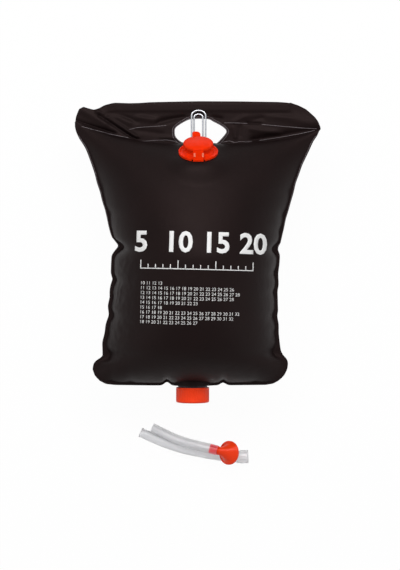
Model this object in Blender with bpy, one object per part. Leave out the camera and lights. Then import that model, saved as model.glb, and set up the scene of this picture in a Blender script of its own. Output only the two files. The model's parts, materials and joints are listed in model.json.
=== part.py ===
"""Camp shower bag, filled and lying on its back, with its two loose hoses and the rose beside it.

Metres, +Z up. +X runs across the bag, +Y from the outlet cap to the hanging header, and +Z out of
the front film. The origin is on the ground, under the middle of the bag with its caps on.
"""

import math

import bmesh
import bpy
import numpy as np
from mathutils import Matrix, Vector

# Clearances
GAP = 0.0003  # between pieces that touch or are welded
OVERRUN = 0.006  # how far a cutter runs past what it cuts
POLE_MERGE = 0.000001  # joins the points of a turned shape that lie on its axis
SHARP_ANGLE = math.radians(38)  # edges sharper than this are shaded as edges

# The film envelope
FILM = 0.0006  # thickness of one film
FILM_WIDTH = 0.400  # flat width of the film before the bag is filled
WIDTH_KEPT_SHARE = 0.991  # of that width, what is left across the filled bag's header corners
BAG_LENGTH = 0.4546  # from the top hem to the bottom seam's edge
HEADER_LENGTH = 0.0690  # from the top hem to the weld that closes the water space
SEAM_WIDTH = 0.005  # flat welded margin round the water space
WELD_WIDTH = 0.0012  # flat strip of the water space's film in the weld below the header
END_RADIUS = 0.100  # radius of the film where it rounds over each end weld
REST_CLIP = 0.009  # how far the back film is pressed flat by the ground
FLATTEST_SAG = 0.000001  # least rise of a section, so that its arc has a radius
PINCH_DEPTH = 0.0085  # buckle in both side seams at the waist
PINCH_LENGTH = 0.0080  # half length of that buckle

# Side edges of the filled bag as seen from the front. Each row is the share of the header's length
# from the top hem, then the shares of half the bag's width at the left and the right edge.
HEADER_SIDE_SHARES = (
    (0.000, 0.747, 0.737),
    (0.055, 0.822, 0.797),
    (0.142, 0.918, 0.868),
    (0.273, 0.974, 0.928),
    (0.448, 0.997, 0.979),
    (0.593, 1.000, 0.997),
    (0.666, 0.997, 1.000),
    (0.811, 0.979, 0.959),
    (1.000, 0.9435, 0.926),
)
# The same below the weld, with shares of the length from that weld to the bottom seam's edge.
SIDE_SHARES = (
    (0.000, 0.9435, 0.926),
    (0.057, 0.874, 0.874),
    (0.184, 0.795, 0.7745),
    (0.309, 0.734, 0.694),
    (0.389, 0.713, 0.677),
    (0.467, 0.706, 0.665),
    (0.542, 0.712, 0.656),
    (0.633, 0.735, 0.641),
    (0.768, 0.761, 0.650),
    (0.840, 0.785, 0.6685),
    (0.887, 0.797, 0.704),
    (0.913, 0.858, 0.740),
    (0.931, 0.874, 0.741),
    (0.965, 0.838, 0.704),
    (0.985, 0.777, 0.646),
    (1.000, 0.696, 0.565),
)
PINCH_SHARE = 0.421  # place of the buckle, as a share of the length below the weld

# How finely the film is divided
ARC_COLUMNS = 12  # film columns from the middle to a side seam
CROWDING_SHARE = 0.40  # how much closer the columns stand at the middle
END_ROWS = 7  # film rows over each rounded end
END_RISE = 0.018  # rise from one such row to the next
MIDDLE_ROWS = 11  # film rows between the rounded ends
LEAST_ROW = 0.003  # least distance from a row of the end or the waist to its neighbour
EAR_SHARE = 0.80  # below this share of the water space, each row of the side edges has a film row
HALVINGS = 40  # steps of the search for a section's arc
END_BLEND = 8  # how sharply a rounded end turns into the body's own curve

# Header: the batten in its hem and the hand hole
BATTEN_LENGTH = 0.284
BATTEN_WIDTH = 0.010
BATTEN_THICKNESS = 0.002
BATTEN_EDGE = 0.0004  # rounding of the batten's edges
HEM_MARGIN = 0.0045  # from the top edge to the batten
HEM_SLOPE = 0.003  # length over which the film climbs over the batten
HOLE_WIDTH = 0.0824
HOLE_HEIGHT = 0.0380
HOLE_X = 0.0020
HOLE_WELD_MARGIN = 0.0026  # film between the hand hole and the weld
PATCH_WIDTH = 0.1000  # of the patch of film that the hand hole is cut in
PATCH_MARGIN = 0.0040  # from the hand hole to the patch's top edge
# Outline of the hand hole, as shares of half its width and half its height
HOLE_SHARES = (
    (-1.00, -0.10),
    (-0.95, 0.30),
    (-0.62, 0.78),
    (-0.33, 1.00),
    (0.27, 1.00),
    (0.52, 0.76),
    (0.84, 0.38),
    (1.00, 0.02),
    (0.94, -0.32),
    (0.62, -0.92),
    (0.50, -1.00),
    (-0.56, -1.00),
    (-0.80, -0.84),
    (-0.96, -0.50),
)

# Hanging loop: one closed wire folded over the header through the hand hole
WIRE = 0.0032
LOOP_WIDTH = 0.0225  # between the centres of the front legs
LOOP_BACK_WIDTH = 0.0170  # the same behind the header
LOOP_X = -0.0010
LOOP_BACK_SHIFT = 0.0022  # how far the back half stands to the right of the front half
LOOP_REACH = 0.0460  # from the fold to the top of the arch, centre to centre
LOOP_OVER_HEM = 0.0012  # how far the arch reaches up over the hem's sleeve
ARCH_SHARE = 0.72  # height of an arch as a share of half its width
ARCH_STEPS = 8
FOLD_STEPS = 6
WIRE_SIDES = 2  # bevel resolution of the wire

# Filler: its place on the film, then its base, strap and cap, heights along its own axis
FILLER_X = -0.0015
FILLER_FROM_WELD = 0.0165  # from the weld to the middle of the filler, along Y
SEAT_SINK = 0.0022  # how far the film is drawn in under the filler
SEAT_FADE = 0.014  # width of film that bends from the flat seat to the body
FLANGE_RADIUS = 0.0308
FLANGE_THICKNESS = 0.0016
FLANGE_LIP = 0.0016  # height of the raised rim of the flange
FLANGE_LIP_WIDTH = 0.0020
NECK_BORE = 0.0180  # radius
NECK_WALL = 0.0030
NECK_HEIGHT = 0.0135  # above the film
STRAP_WIDTH = 0.0160
STRAP_THICKNESS = 0.0018
STRAP_ROOT_INSET = 0.0004  # from the flange's edge to the strap
SLOT_WIDTH = 0.0022  # notch at each side of the strap
SLOT_DEPTH = 0.0075
KNUCKLE_RADIUS = 0.0012
KNUCKLE_STEPS = 10
HINGE_STANDOFF = 0.0016  # from the lid's rim to the strap's hinge line
LID_RADIUS = 0.0235
LID_RIM = 0.0026  # height of the lid's upright edge
LID_DOME = 0.0058  # rise of the dome above that edge
LID_WALL = 0.0018
DOME_STEPS = 5
PLUG_CLEARANCE = 0.0006
PLUG_WALL = 0.0016
PLUG_DEPTH = 0.0040  # how far the plug reaches into the neck
LIP_CLEARANCE = 0.0004  # between the knuckle and the lid
LIP_WIDTH = 0.0150
TAB_WIDTH = 0.0130
TAB_LENGTH = 0.0100
TAB_THICKNESS = 0.0020
TAB_TILT = math.radians(30)
TAB_OFFSET = -0.0030  # the tab stands a little off the middle
TAB_ROUND = 0.0035  # radius of the tab's corners
TAB_OVERLAP = 0.0025  # how far the tab runs into the lid's rim

# Outlet: spout, seal and screw cap, all along -Y from the seam's edge
OUTLET_X = -0.0106
SPOUT_FLANGE_WIDTH = 0.0037  # of the flange inside the bag, past the collar
SPOUT_FLANGE_THICKNESS = 0.0015
COLLAR_STEP = 0.0017  # from the barrel out to the collar
BOAT_SLOPE = math.radians(45)  # of the spout's wings, which the films follow down to their seam
BOAT_TIP = 0.0008  # thickness of a wing's end
WRAP_SLACK = 0.0004  # how loosely the film lies over the spout
COLLAR_STANDOUT = 0.0022  # how far the collar shows past the seam
BARREL_RADIUS = 0.0216
BARREL_WALL = 0.0016
WEB_FROM_COLLAR = 0.0007  # from the collar's face to the ledge that carries the nozzle's disc
WEB_THICKNESS = 0.0020  # of the nozzle's disc
WEB_LEDGE = 0.0006  # width of that ledge
NOZZLE_BORE = 0.0043
NOZZLE_WALL = 0.0017
NOZZLE_RECESS = 0.0015  # from the barrel's mouth back to the nozzle's tip
BARB_HEIGHT = 0.0005
BARB_LENGTH = 0.0030
NOZZLE_BARBS = 2
CAP_WALL = 0.0036  # from the cap's bore to the tops of its ribs
CAP_LENGTH = 0.0245
CAP_ROOF = 0.0022
CAP_CLEARANCE = 0.0005  # from the collar to the cap
CAP_CHAMFER = 0.0016
CAP_FOOT_CHAMFER = 0.0008
CAP_RIBS = 30
RIB_DEPTH = 0.0005
THREAD_CLEARANCE = 0.0013  # from the barrel to the cap's bore
THREAD_PITCH = 0.0045
THREAD_RADIUS = 0.0009  # of the barrel's rounded ridge
CAP_THREAD_RADIUS = 0.0008
THREAD_TURNS = 2.0
CAP_THREAD_TURNS = 1.25
THREAD_START = 0.0045  # from the collar's face to the first ridge
THREAD_STEPS = 16  # points of a ridge in each turn
THREAD_END_SHARE = 0.25  # of a ridge's full height, at its two ends
THREAD_FADE_STEPS = 3  # steps from an end to the full height
SEAL_THICKNESS = 0.0015
SEAL_WIDTH = 0.0030
TURN_STEPS = 36  # sides of a round moulding

# Hoses and rose
HOSE_RADIUS = 0.0080
HOSE_WALL = 0.0020
HOSE_SIDES = 3  # bevel resolution of a hose
HOSE_STEP_SHARE = 2.0  # distance between the points read along a route, in hose diameters
FLARE_RADIUS = 0.0108  # of the plain hose's worked end
FLARE_LENGTH = 0.0170
FLARE_RAMP = 0.0060
# Centre lines of the two loose hoses on the ground, from their left ends
PLAIN_HOSE_ROUTE = (
    (-0.0978, -0.2975, 0.0080),
    (-0.0820, -0.3045, 0.0080),
    (-0.0687, -0.3105, 0.0080),
    (-0.0554, -0.3159, 0.0080),
    (-0.0421, -0.3204, 0.0080),
    (-0.0288, -0.3244, 0.0080),
    (-0.0154, -0.3277, 0.0080),
    (0.0045, -0.3317, 0.0080),
    (0.0245, -0.3355, 0.0080),
    (0.0445, -0.3377, 0.0086),
    (0.0644, -0.3382, 0.0107),
    (0.0811, -0.3376, 0.0114),
)
ROSE_HOSE_ROUTE = (
    (-0.0785, -0.2896, 0.0157),
    (-0.0619, -0.2973, 0.0160),
    (-0.0486, -0.3037, 0.0180),
    (-0.0353, -0.3093, 0.0194),
    (-0.0154, -0.3154, 0.0214),
    (0.0045, -0.3200, 0.0246),
    (0.0190, -0.3230, 0.0277),
    (0.0301, -0.3256, 0.0303),
)
STEM_RADIUS = 0.0056
STEM_WALL = 0.0014
STEM_IN_HOSE = 0.0130
STEM_REACH = 0.0165  # from the hose's end to the middle of the rose
NECK_LENGTH = 0.0042  # of the thicker neck between the hose and the rose
NECK_RADIUS = 0.0072
BORE_RUN = 0.0035  # how far the stem's bore runs on into the hollow rose
ROSE_RADIUS = 0.0197
ROSE_RIM = 0.0032  # height of the rose's upright edge
ROSE_SWELL = 0.0012  # how far the funnel's sides bow out
ROSE_HOLLOW = 0.0054  # height of the hollow at its middle
ROSE_WALL = 0.0016
ROSE_AXIS_HEIGHT = 0.0068  # of the stem's axis above the spray face, at the rose's middle
FUNNEL_STEPS = 5
FUNNEL_SIDES = 28
ROSE_TILT = math.radians(39.7)  # from +Z to the axis of the rose's back
ROSE_TURN = math.radians(170.5)  # heading of that axis, from +X
FACE_THICKNESS = 0.0014
FACE_HOLE = 0.0009  # radius of a spray hole
FACE_RINGS = ((1, 0.0), (6, 0.36), (12, 0.70))  # holes in each ring, and the ring's share of the face
HOLE_SIDES = 6

# Colours, linear, as red, green and blue
BLACK_FILM = (0.013, 0.010, 0.011)
RED_PLASTIC = (0.86, 0.045, 0.006)
ROSE_RED = (0.62, 0.010, 0.008)
BLACK_PLASTIC = (0.012, 0.012, 0.013)
STEEL = (0.78, 0.78, 0.80)
CLEAR_PVC = (0.60, 0.60, 0.64)
RUBBER = (0.02, 0.02, 0.02)
WHITE_PLASTIC = (0.75, 0.74, 0.70)

# Places worked out from the sizes
COLLAR_RADIUS = BARREL_RADIUS + COLLAR_STEP
SPOUT_FLANGE = COLLAR_RADIUS + SPOUT_FLANGE_WIDTH
CAP_RADIUS = BARREL_RADIUS + THREAD_CLEARANCE + CAP_WALL
BAG_WIDTH = FILM_WIDTH * WIDTH_KEPT_SHARE
OUTLET_LENGTH = COLLAR_STANDOUT + CAP_CLEARANCE + CAP_LENGTH
TOP_Y = (BAG_LENGTH + OUTLET_LENGTH) / 2
WELD_Y = TOP_Y - HEADER_LENGTH
EDGE_Y = TOP_Y - BAG_LENGTH
SEAM_Y = EDGE_Y + SEAM_WIDTH
ARC_LENGTH = FILM_WIDTH - 2 * SEAM_WIDTH
SLEEVE_RISE = BATTEN_THICKNESS / 2 + GAP / 2


def clear_scene():
    for obj in list(bpy.data.objects):
        bpy.data.objects.remove(obj)


def make_material(name, colour, roughness, metallic=0.0, alpha=1.0):
    material = bpy.data.materials.new(name)
    material.use_nodes = True
    shader = material.node_tree.nodes["Principled BSDF"]
    shader.inputs["Base Color"].default_value = (*colour, 1)
    shader.inputs["Roughness"].default_value = roughness
    shader.inputs["Metallic"].default_value = metallic
    shader.inputs["Alpha"].default_value = alpha
    return material


def add_object(name, mesh, material=None, parent=None):
    obj = bpy.data.objects.new(name, mesh)
    bpy.context.scene.collection.objects.link(obj)
    if material:
        mesh.materials.append(material)
    obj.parent = parent
    return obj


def add_frame(name, matrix):
    """An empty that carries the pieces made in its frame."""
    frame = bpy.data.objects.new(name, None)
    bpy.context.scene.collection.objects.link(frame)
    frame.matrix_world = matrix
    return frame


def make_cutter(name, mesh, parent=None):
    cutter = add_object(name, mesh, parent=parent)
    cutter.hide_render = True
    cutter.display_type = "WIRE"
    return cutter


def add_boolean(obj, other, operation="DIFFERENCE"):
    modifier = obj.modifiers.new(other.name, "BOOLEAN")
    modifier.operation = operation
    modifier.solver = "EXACT"
    modifier.object = other


def finish_shading(obj):
    """Marks the sharp edges again after the Booleans, so that cut edges stay crisp."""
    tree = bpy.data.node_groups.get("crisp_edges")
    if not tree:
        tree = bpy.data.node_groups.new("crisp_edges", "GeometryNodeTree")
        for direction in ("INPUT", "OUTPUT"):
            tree.interface.new_socket("Geometry", in_out=direction, socket_type="NodeSocketGeometry")
        angle = tree.nodes.new("GeometryNodeInputMeshEdgeAngle")
        compare = tree.nodes.new("FunctionNodeCompare")
        compare.operation = "LESS_EQUAL"
        compare.inputs["B"].default_value = SHARP_ANGLE
        shade = tree.nodes.new("GeometryNodeSetShadeSmooth")
        shade.domain = "EDGE"
        start, end = tree.nodes.new("NodeGroupInput"), tree.nodes.new("NodeGroupOutput")
        tree.links.new(angle.outputs["Unsigned Angle"], compare.inputs["A"])
        tree.links.new(compare.outputs["Result"], shade.inputs["Shade Smooth"])
        tree.links.new(start.outputs["Geometry"], shade.inputs["Geometry"])
        tree.links.new(shade.outputs["Geometry"], end.inputs["Geometry"])
    obj.modifiers.new("crisp_edges", "NODES").node_group = tree


def mesh_of(name, bm):
    mesh = bpy.data.meshes.new(name)
    bm.to_mesh(mesh)
    bm.free()
    mesh.shade_smooth()
    mesh.set_sharp_from_angle(angle=SHARP_ANGLE)
    return mesh


def turned_mesh(name, profile, steps=TURN_STEPS, closed=True, rib_depth=0.0, rib_radius=0.0):
    """A profile of (radius, height) turned about Z. Points at rib_radius stand back on every other side."""
    bm = bmesh.new()
    points = [bm.verts.new((radius, 0, height)) for radius, height in profile]
    edges = [bm.edges.new(pair) for pair in zip(points, points[1:])]
    if closed:
        edges.append(bm.edges.new((points[-1], points[0])))
    bmesh.ops.spin(
        bm,
        geom=points + edges,
        cent=(0, 0, 0),
        axis=(0, 0, 1),
        dvec=(0, 0, 0),
        angle=math.tau,
        steps=steps,
        use_merge=True,
        use_duplicate=False,
    )
    bmesh.ops.remove_doubles(bm, verts=bm.verts, dist=POLE_MERGE)
    if rib_depth:
        for vert in bm.verts:
            side = round(math.atan2(vert.co.y, vert.co.x) / math.tau * steps)
            if side % 2 and math.hypot(vert.co.x, vert.co.y) > rib_radius - rib_depth:
                shrink = 1 - rib_depth / rib_radius
                vert.co.x *= shrink
                vert.co.y *= shrink
    bmesh.ops.recalc_face_normals(bm, faces=bm.faces)
    return mesh_of(name, bm)


def cylinder_mesh(name, radius, low, high, steps=TURN_STEPS):
    return turned_mesh(name, ((0, high), (radius, high), (radius, low), (0, low)), steps, closed=False)


def prism_mesh(name, outline, plane, low, high):
    """An outline of (across, up) points, drawn on the X or the Z plane and pushed from low to high."""
    bm = bmesh.new()
    if plane == "X":
        points = [bm.verts.new((low, a, b)) for a, b in outline]
        push = Vector((high - low, 0, 0))
    else:
        points = [bm.verts.new((a, b, low)) for a, b in outline]
        push = Vector((0, 0, high - low))
    face = bm.faces.new(points)
    pushed = bmesh.ops.extrude_face_region(bm, geom=[face])["geom"]
    moved = [item for item in pushed if isinstance(item, bmesh.types.BMVert)]
    bmesh.ops.translate(bm, verts=moved, vec=push)
    bmesh.ops.recalc_face_normals(bm, faces=bm.faces)
    return mesh_of(name, bm)


def tube_mesh(name, points, radius, resolution, closed=False, shares=None):
    """The mesh of a curve with a round bevel through these points."""
    curve = bpy.data.curves.new(name, "CURVE")
    curve.dimensions = "3D"
    curve.bevel_depth = radius
    curve.bevel_resolution = resolution
    curve.use_fill_caps = not closed
    spline = curve.splines.new("POLY")
    spline.points.add(len(points) - 1)
    for index, point in enumerate(points):
        spline.points[index].co = (*point, 1)
        spline.points[index].radius = shares[index] if shares else 1
    spline.use_cyclic_u = closed
    spline.use_smooth = True
    guide = bpy.data.objects.new(name + "_route", curve)
    mesh = bpy.data.meshes.new_from_object(guide)
    bpy.data.objects.remove(guide)
    mesh.name = name
    bm = bmesh.new()
    bm.from_mesh(mesh)
    bmesh.ops.remove_doubles(bm, verts=bm.verts, dist=POLE_MERGE)
    bmesh.ops.recalc_face_normals(bm, faces=bm.faces)
    bm.to_mesh(mesh)
    bm.free()
    return mesh


# Shape of the filled bag


def side_edges(y):
    """X of the left and right edge of the filled bag at this height."""
    if y > WELD_Y:
        table = np.array(HEADER_SIDE_SHARES)
        along = (TOP_Y - y) / HEADER_LENGTH
    else:
        table = np.array(SIDE_SHARES)
        along = (WELD_Y - y) / (WELD_Y - EDGE_Y)
    left = np.interp(along, table[:, 0], table[:, 1])
    right = np.interp(along, table[:, 0], table[:, 2])
    return -left * BAG_WIDTH / 2, right * BAG_WIDTH / 2


def arc_half_angle(chord):
    """Half angle of the arc of film that spans this chord."""
    share = min(chord / ARC_LENGTH, 1)
    low, high = 0.0, math.pi
    for _ in range(HALVINGS):
        middle = (low + high) / 2
        if math.sin(middle) > share * middle:
            low = middle
        else:
            high = middle
    return low


def sag(y):
    """Rise of the film above the seams' plane at the middle of the bag."""
    if y >= WELD_Y or y <= SEAM_Y:
        return 0.0
    left, right = side_edges(y)
    half = (right - left) / 2 - SEAM_WIDTH
    body = half * math.tan(arc_half_angle(2 * half) / 2)
    rises = [math.sqrt(2 * END_RADIUS * (WELD_Y - y)), math.sqrt(2 * END_RADIUS * (y - SEAM_Y)), body]
    return sum(max(rise, FLATTEST_SAG) ** -END_BLEND for rise in rises) ** (-1 / END_BLEND)


def film_rows():
    """Heights of the film's rows, from the bottom edge to the top hem."""
    sleeve_low = TOP_Y - HEM_MARGIN - BATTEN_WIDTH - GAP
    sleeve_high = TOP_Y - HEM_MARGIN + GAP
    reach = (END_ROWS * END_RISE) ** 2 / (2 * END_RADIUS)
    ends = [(step * END_RISE) ** 2 / (2 * END_RADIUS) for step in range(END_ROWS + 1)]
    rows = [EDGE_Y]
    rows += [SEAM_Y + end for end in ends]
    rows += list(np.linspace(SEAM_Y + reach, WELD_Y - reach, MIDDLE_ROWS + 1)[1:-1])
    rows += [WELD_Y - end for end in reversed(ends)]
    rows += [TOP_Y - share * HEADER_LENGTH for share, _, _ in HEADER_SIDE_SHARES[-2:2:-1]]
    rows += [sleeve_low - HEM_SLOPE, sleeve_low, sleeve_high, sleeve_high + HEM_SLOPE, TOP_Y]
    waist = [pinch_y() - PINCH_LENGTH, pinch_y(), pinch_y() + PINCH_LENGTH]
    ears = [WELD_Y - share * (WELD_Y - EDGE_Y) for share, _, _ in SIDE_SHARES if share > EAR_SHARE]
    for row in waist + ears:
        if min(abs(row - other) for other in rows) > LEAST_ROW:
            rows.append(row)
    return sorted(rows)


def film_columns():
    """Places across the film, from -1 at the left seam to 1 at the right one, with one more past each."""
    steps = [step / ARC_COLUMNS for step in range(-ARC_COLUMNS, ARC_COLUMNS + 1)]
    inner = [step * (1 - CROWDING_SHARE) + CROWDING_SHARE * step**3 for step in steps]
    return [None, *inner, None]


def sleeve_rise(y):
    """How far the film stands off the header's middle plane in the hem that holds the batten."""
    low = TOP_Y - HEM_MARGIN - BATTEN_WIDTH - GAP
    high = TOP_Y - HEM_MARGIN + GAP
    up = min(max((y - low) / HEM_SLOPE + 1, 0), 1)
    down = min(max((high - y) / HEM_SLOPE + 1, 0), 1)
    return SLEEVE_RISE * min(up, down)


def wrap_height(x, y):
    """Rise of the film's inner face where it lies over the spout in the bottom seam."""
    radius = COLLAR_RADIUS + GAP + WRAP_SLACK
    away = abs(x - OUTLET_X)
    if y > SEAM_Y + radius**2 / (2 * END_RADIUS):
        return 0.0
    if away < radius * math.sin(BOAT_SLOPE):
        return math.sqrt(radius**2 - away**2)
    return max(radius / math.cos(BOAT_SLOPE) - away * math.tan(BOAT_SLOPE), 0)


def free_film_point(column, y):
    """The inner face of the front film, with its rise above the seams' plane, before fittings draw it in."""
    left, right = side_edges(y)
    middle = (left + right) / 2
    half = (right - left) / 2 - SEAM_WIDTH
    rise = max(sag(y), FLATTEST_SAG)
    radius = (half**2 + rise**2) / (2 * rise)
    angle = 2 * math.atan(rise / half)
    x = middle + radius * math.sin(column * angle)
    z = radius * (math.cos(column * angle) - math.cos(angle))
    buckle = math.exp(-(((y - pinch_y()) / PINCH_LENGTH) ** 2)) * column**4
    x -= math.copysign(PINCH_DEPTH * buckle, column)
    return Vector((x, y, max(z + sleeve_rise(y), wrap_height(x, y))))


def pinch_y():
    return WELD_Y - PINCH_SHARE * (WELD_Y - EDGE_Y)


def seat_frame():
    """Middle of the filler's seat on the inner face of the film, and the seat's outward direction."""
    y = WELD_Y - FILLER_FROM_WELD
    step = FILLER_FROM_WELD / 8
    slope = (sag(y + step) - sag(y - step)) / (2 * step)
    outward = Vector((0, -slope, 1)).normalized()
    return Vector((FILLER_X, y, sag(y))) - SEAT_SINK * outward, outward


def film_point(column, y, side):
    """A point of the inner face of the front film, side 1, or of the back film, side -1."""
    if column is None:
        left, right = side_edges(y)
        return Vector((0, y, 0)), left, right
    point = free_film_point(column, y)
    if side > 0:
        seat, outward = seat_frame()
        height = (point - seat).dot(outward)
        away = (point - seat - height * outward).length
        share = min(max((FLANGE_RADIUS + SEAT_FADE - away) / SEAT_FADE, 0), 1)
        if sag(y) > 0:
            point -= height * outward * share * share * (3 - 2 * share)
    return point


def middle_height():
    """Height of the seams' plane above the ground."""
    return max(sag(y) for y in film_rows()) - REST_CLIP + FILM


def build_panel(name, side, material, low, high):
    """The stretch of one film between two heights, as a closed shell."""
    rows = [low, *(row for row in film_rows() if low + GAP < row < high - GAP), high]
    columns = film_columns()
    ground = middle_height()
    bm = bmesh.new()
    bmesh.ops.create_grid(bm, x_segments=len(columns) - 1, y_segments=len(rows) - 1, size=1)
    for vert in bm.verts:
        across = round((vert.co.x + 1) / 2 * (len(columns) - 1))
        y = rows[round((vert.co.y + 1) / 2 * (len(rows) - 1))]
        if columns[across] is None:
            left, right = side_edges(y)
            buckle = PINCH_DEPTH * math.exp(-(((y - pinch_y()) / PINCH_LENGTH) ** 2))
            x = right - buckle if across else left + buckle
            point = Vector((x, y, 0))
        else:
            point = film_point(columns[across], y, side)
        height = ground + side * (point.z + GAP / 2)
        vert.co = (point.x, point.y, max(height, FILM))
    if side < 0:
        bmesh.ops.reverse_faces(bm, faces=bm.faces)
    panel = add_object(name, mesh_of(name, bm), material)
    wall = panel.modifiers.new("film", "SOLIDIFY")
    wall.thickness = FILM
    wall.offset = 1
    return panel


# Pieces


def hand_hole_cutter():
    middle_y = WELD_Y + HOLE_WELD_MARGIN + HOLE_HEIGHT / 2
    outline = [(HOLE_X + a * HOLE_WIDTH / 2, middle_y + b * HOLE_HEIGHT / 2) for a, b in HOLE_SHARES]
    level = middle_height()
    return make_cutter("hand_hole", prism_mesh("hand_hole", outline, "Z", level - OVERRUN, level + OVERRUN))


def patch_cutter(name, grow):
    """The patch of film round the hand hole, down to the weld, grown by a gap on its three free sides."""
    half = PATCH_WIDTH / 2 + grow
    low = WELD_Y + WELD_WIDTH
    high = WELD_Y + HOLE_WELD_MARGIN + HOLE_HEIGHT + PATCH_MARGIN + grow
    outline = [(HOLE_X - half, low), (HOLE_X + half, low), (HOLE_X + half, high), (HOLE_X - half, high)]
    level = middle_height()
    return make_cutter(name, prism_mesh(name, outline, "Z", level - OVERRUN, level + OVERRUN))


def outlet_frame():
    """Frame with its Z along the outlet's axis, out of the bag, and its origin at the seam's edge."""
    turn = Matrix(((1, 0, 0), (0, 0, -1), (0, 1, 0))).to_4x4()
    return Matrix.Translation((OUTLET_X, EDGE_Y, middle_height())) @ turn


def filler_matrix():
    """Frame with its Z along the filler's axis and its Y towards the header, on the film's outer face."""
    seat, outward = seat_frame()
    seat = seat + FILM * outward + Vector((0, 0, middle_height() + GAP / 2))
    across = Vector((1, 0, 0))
    turn = Matrix((across, outward.cross(across), outward)).transposed().to_4x4()
    return Matrix.Translation(seat) @ turn


def build_bag(film, batten_plastic, filler_frame):
    weld_top = WELD_Y + WELD_WIDTH
    front = build_panel("front_panel", 1, film, EDGE_Y, weld_top)
    back = build_panel("back_panel", -1, film, EDGE_Y, weld_top)
    filler_hole = make_cutter(
        "filler_hole", cylinder_mesh("filler_hole", NECK_BORE + GAP, -OVERRUN, OVERRUN), filler_frame
    )
    add_boolean(front, filler_hole)
    hand_hole = hand_hole_cutter()
    header_front = build_panel("header_front", 1, film, weld_top + GAP, TOP_Y)
    header_back = build_panel("header_back", -1, film, weld_top + GAP, TOP_Y)
    patch_hole = patch_cutter("patch_hole", GAP)
    for header in (header_front, header_back):
        add_boolean(header, patch_hole)
    patch_front = build_panel("hole_patch_front", 1, film, weld_top + GAP, TOP_Y)
    patch_back = build_panel("hole_patch_back", -1, film, weld_top + GAP, TOP_Y)
    patch_shape = patch_cutter("patch_shape", 0)
    for patch in (patch_front, patch_back):
        add_boolean(patch, patch_shape, "INTERSECT")
        add_boolean(patch, hand_hole)
    for panel in (front, back, header_front, header_back, patch_front, patch_back):
        finish_shading(panel)
    build_batten(batten_plastic)


def build_batten(material):
    bm = bmesh.new()
    bmesh.ops.create_cube(bm, size=1)
    bmesh.ops.scale(bm, verts=bm.verts, vec=(BATTEN_LENGTH, BATTEN_WIDTH, BATTEN_THICKNESS))
    bmesh.ops.bevel(
        bm, geom=bm.edges, offset=BATTEN_EDGE, segments=1, profile=0.5, affect="EDGES", material=-1
    )
    batten = add_object("header_batten", mesh_of("header_batten", bm), material)
    batten.location = (0, TOP_Y - HEM_MARGIN - BATTEN_WIDTH / 2, middle_height())


def hinge_height():
    """Height of the strap's hinge line above the film: level with the middle of the lid's edge."""
    return NECK_HEIGHT + GAP + LID_RIM / 2


def hinge_y():
    return -LID_RADIUS - HINGE_STANDOFF


def build_filler_base(material, filler_frame):
    neck = NECK_BORE + NECK_WALL
    top = GAP + FLANGE_THICKNESS
    lip = FLANGE_RADIUS - FLANGE_LIP_WIDTH
    profile = (
        (NECK_BORE, GAP),
        (NECK_BORE, NECK_HEIGHT),
        (neck, NECK_HEIGHT),
        (neck, top),
        (lip, top),
        (lip, top + FLANGE_LIP),
        (FLANGE_RADIUS, top + FLANGE_LIP),
        (FLANGE_RADIUS, GAP),
    )
    base = add_object("filler_base", turned_mesh("filler_base", profile), material, filler_frame)
    root = -FLANGE_RADIUS + STRAP_ROOT_INSET
    line_y, line_z = hinge_y(), hinge_height()
    outline = [(root, GAP), (root + STRAP_THICKNESS, GAP)]
    for step in range(KNUCKLE_STEPS):
        turn = math.radians(-45) + step / (KNUCKLE_STEPS - 1) * math.pi
        outline.append((line_y + KNUCKLE_RADIUS * math.cos(turn), line_z + KNUCKLE_RADIUS * math.sin(turn)))
    strap = prism_mesh("strap", outline, "X", -STRAP_WIDTH / 2, STRAP_WIDTH / 2)
    add_boolean(base, make_cutter("strap", strap, filler_frame), "UNION")
    for hand in (-1, 1):
        inner = hand * STRAP_WIDTH / 2
        outer = inner + hand * SLOT_WIDTH
        slot = [(-FLANGE_RADIUS - OVERRUN, -GAP), (-FLANGE_RADIUS + SLOT_DEPTH, -GAP)]
        slot += [(y, NECK_HEIGHT) for y, _ in reversed(slot)]
        name = "strap_slot_left" if hand < 0 else "strap_slot_right"
        mesh = prism_mesh(name, slot, "X", min(inner, outer), max(inner, outer))
        add_boolean(base, make_cutter(name, mesh, filler_frame))
    finish_shading(base)


def tab_outline():
    """The pull tab seen along its thickness, from its root in the lid to its round end."""
    half, end = TAB_WIDTH / 2, TAB_LENGTH
    outline = [(-half, -TAB_OVERLAP), (half, -TAB_OVERLAP)]
    for centre, start in ((half - TAB_ROUND, 0), (TAB_ROUND - half, 90)):
        for step in range(4):
            turn = math.radians(start + step * 30)
            outline.append((centre + TAB_ROUND * math.cos(turn), end - TAB_ROUND + TAB_ROUND * math.sin(turn)))
    return outline


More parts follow.
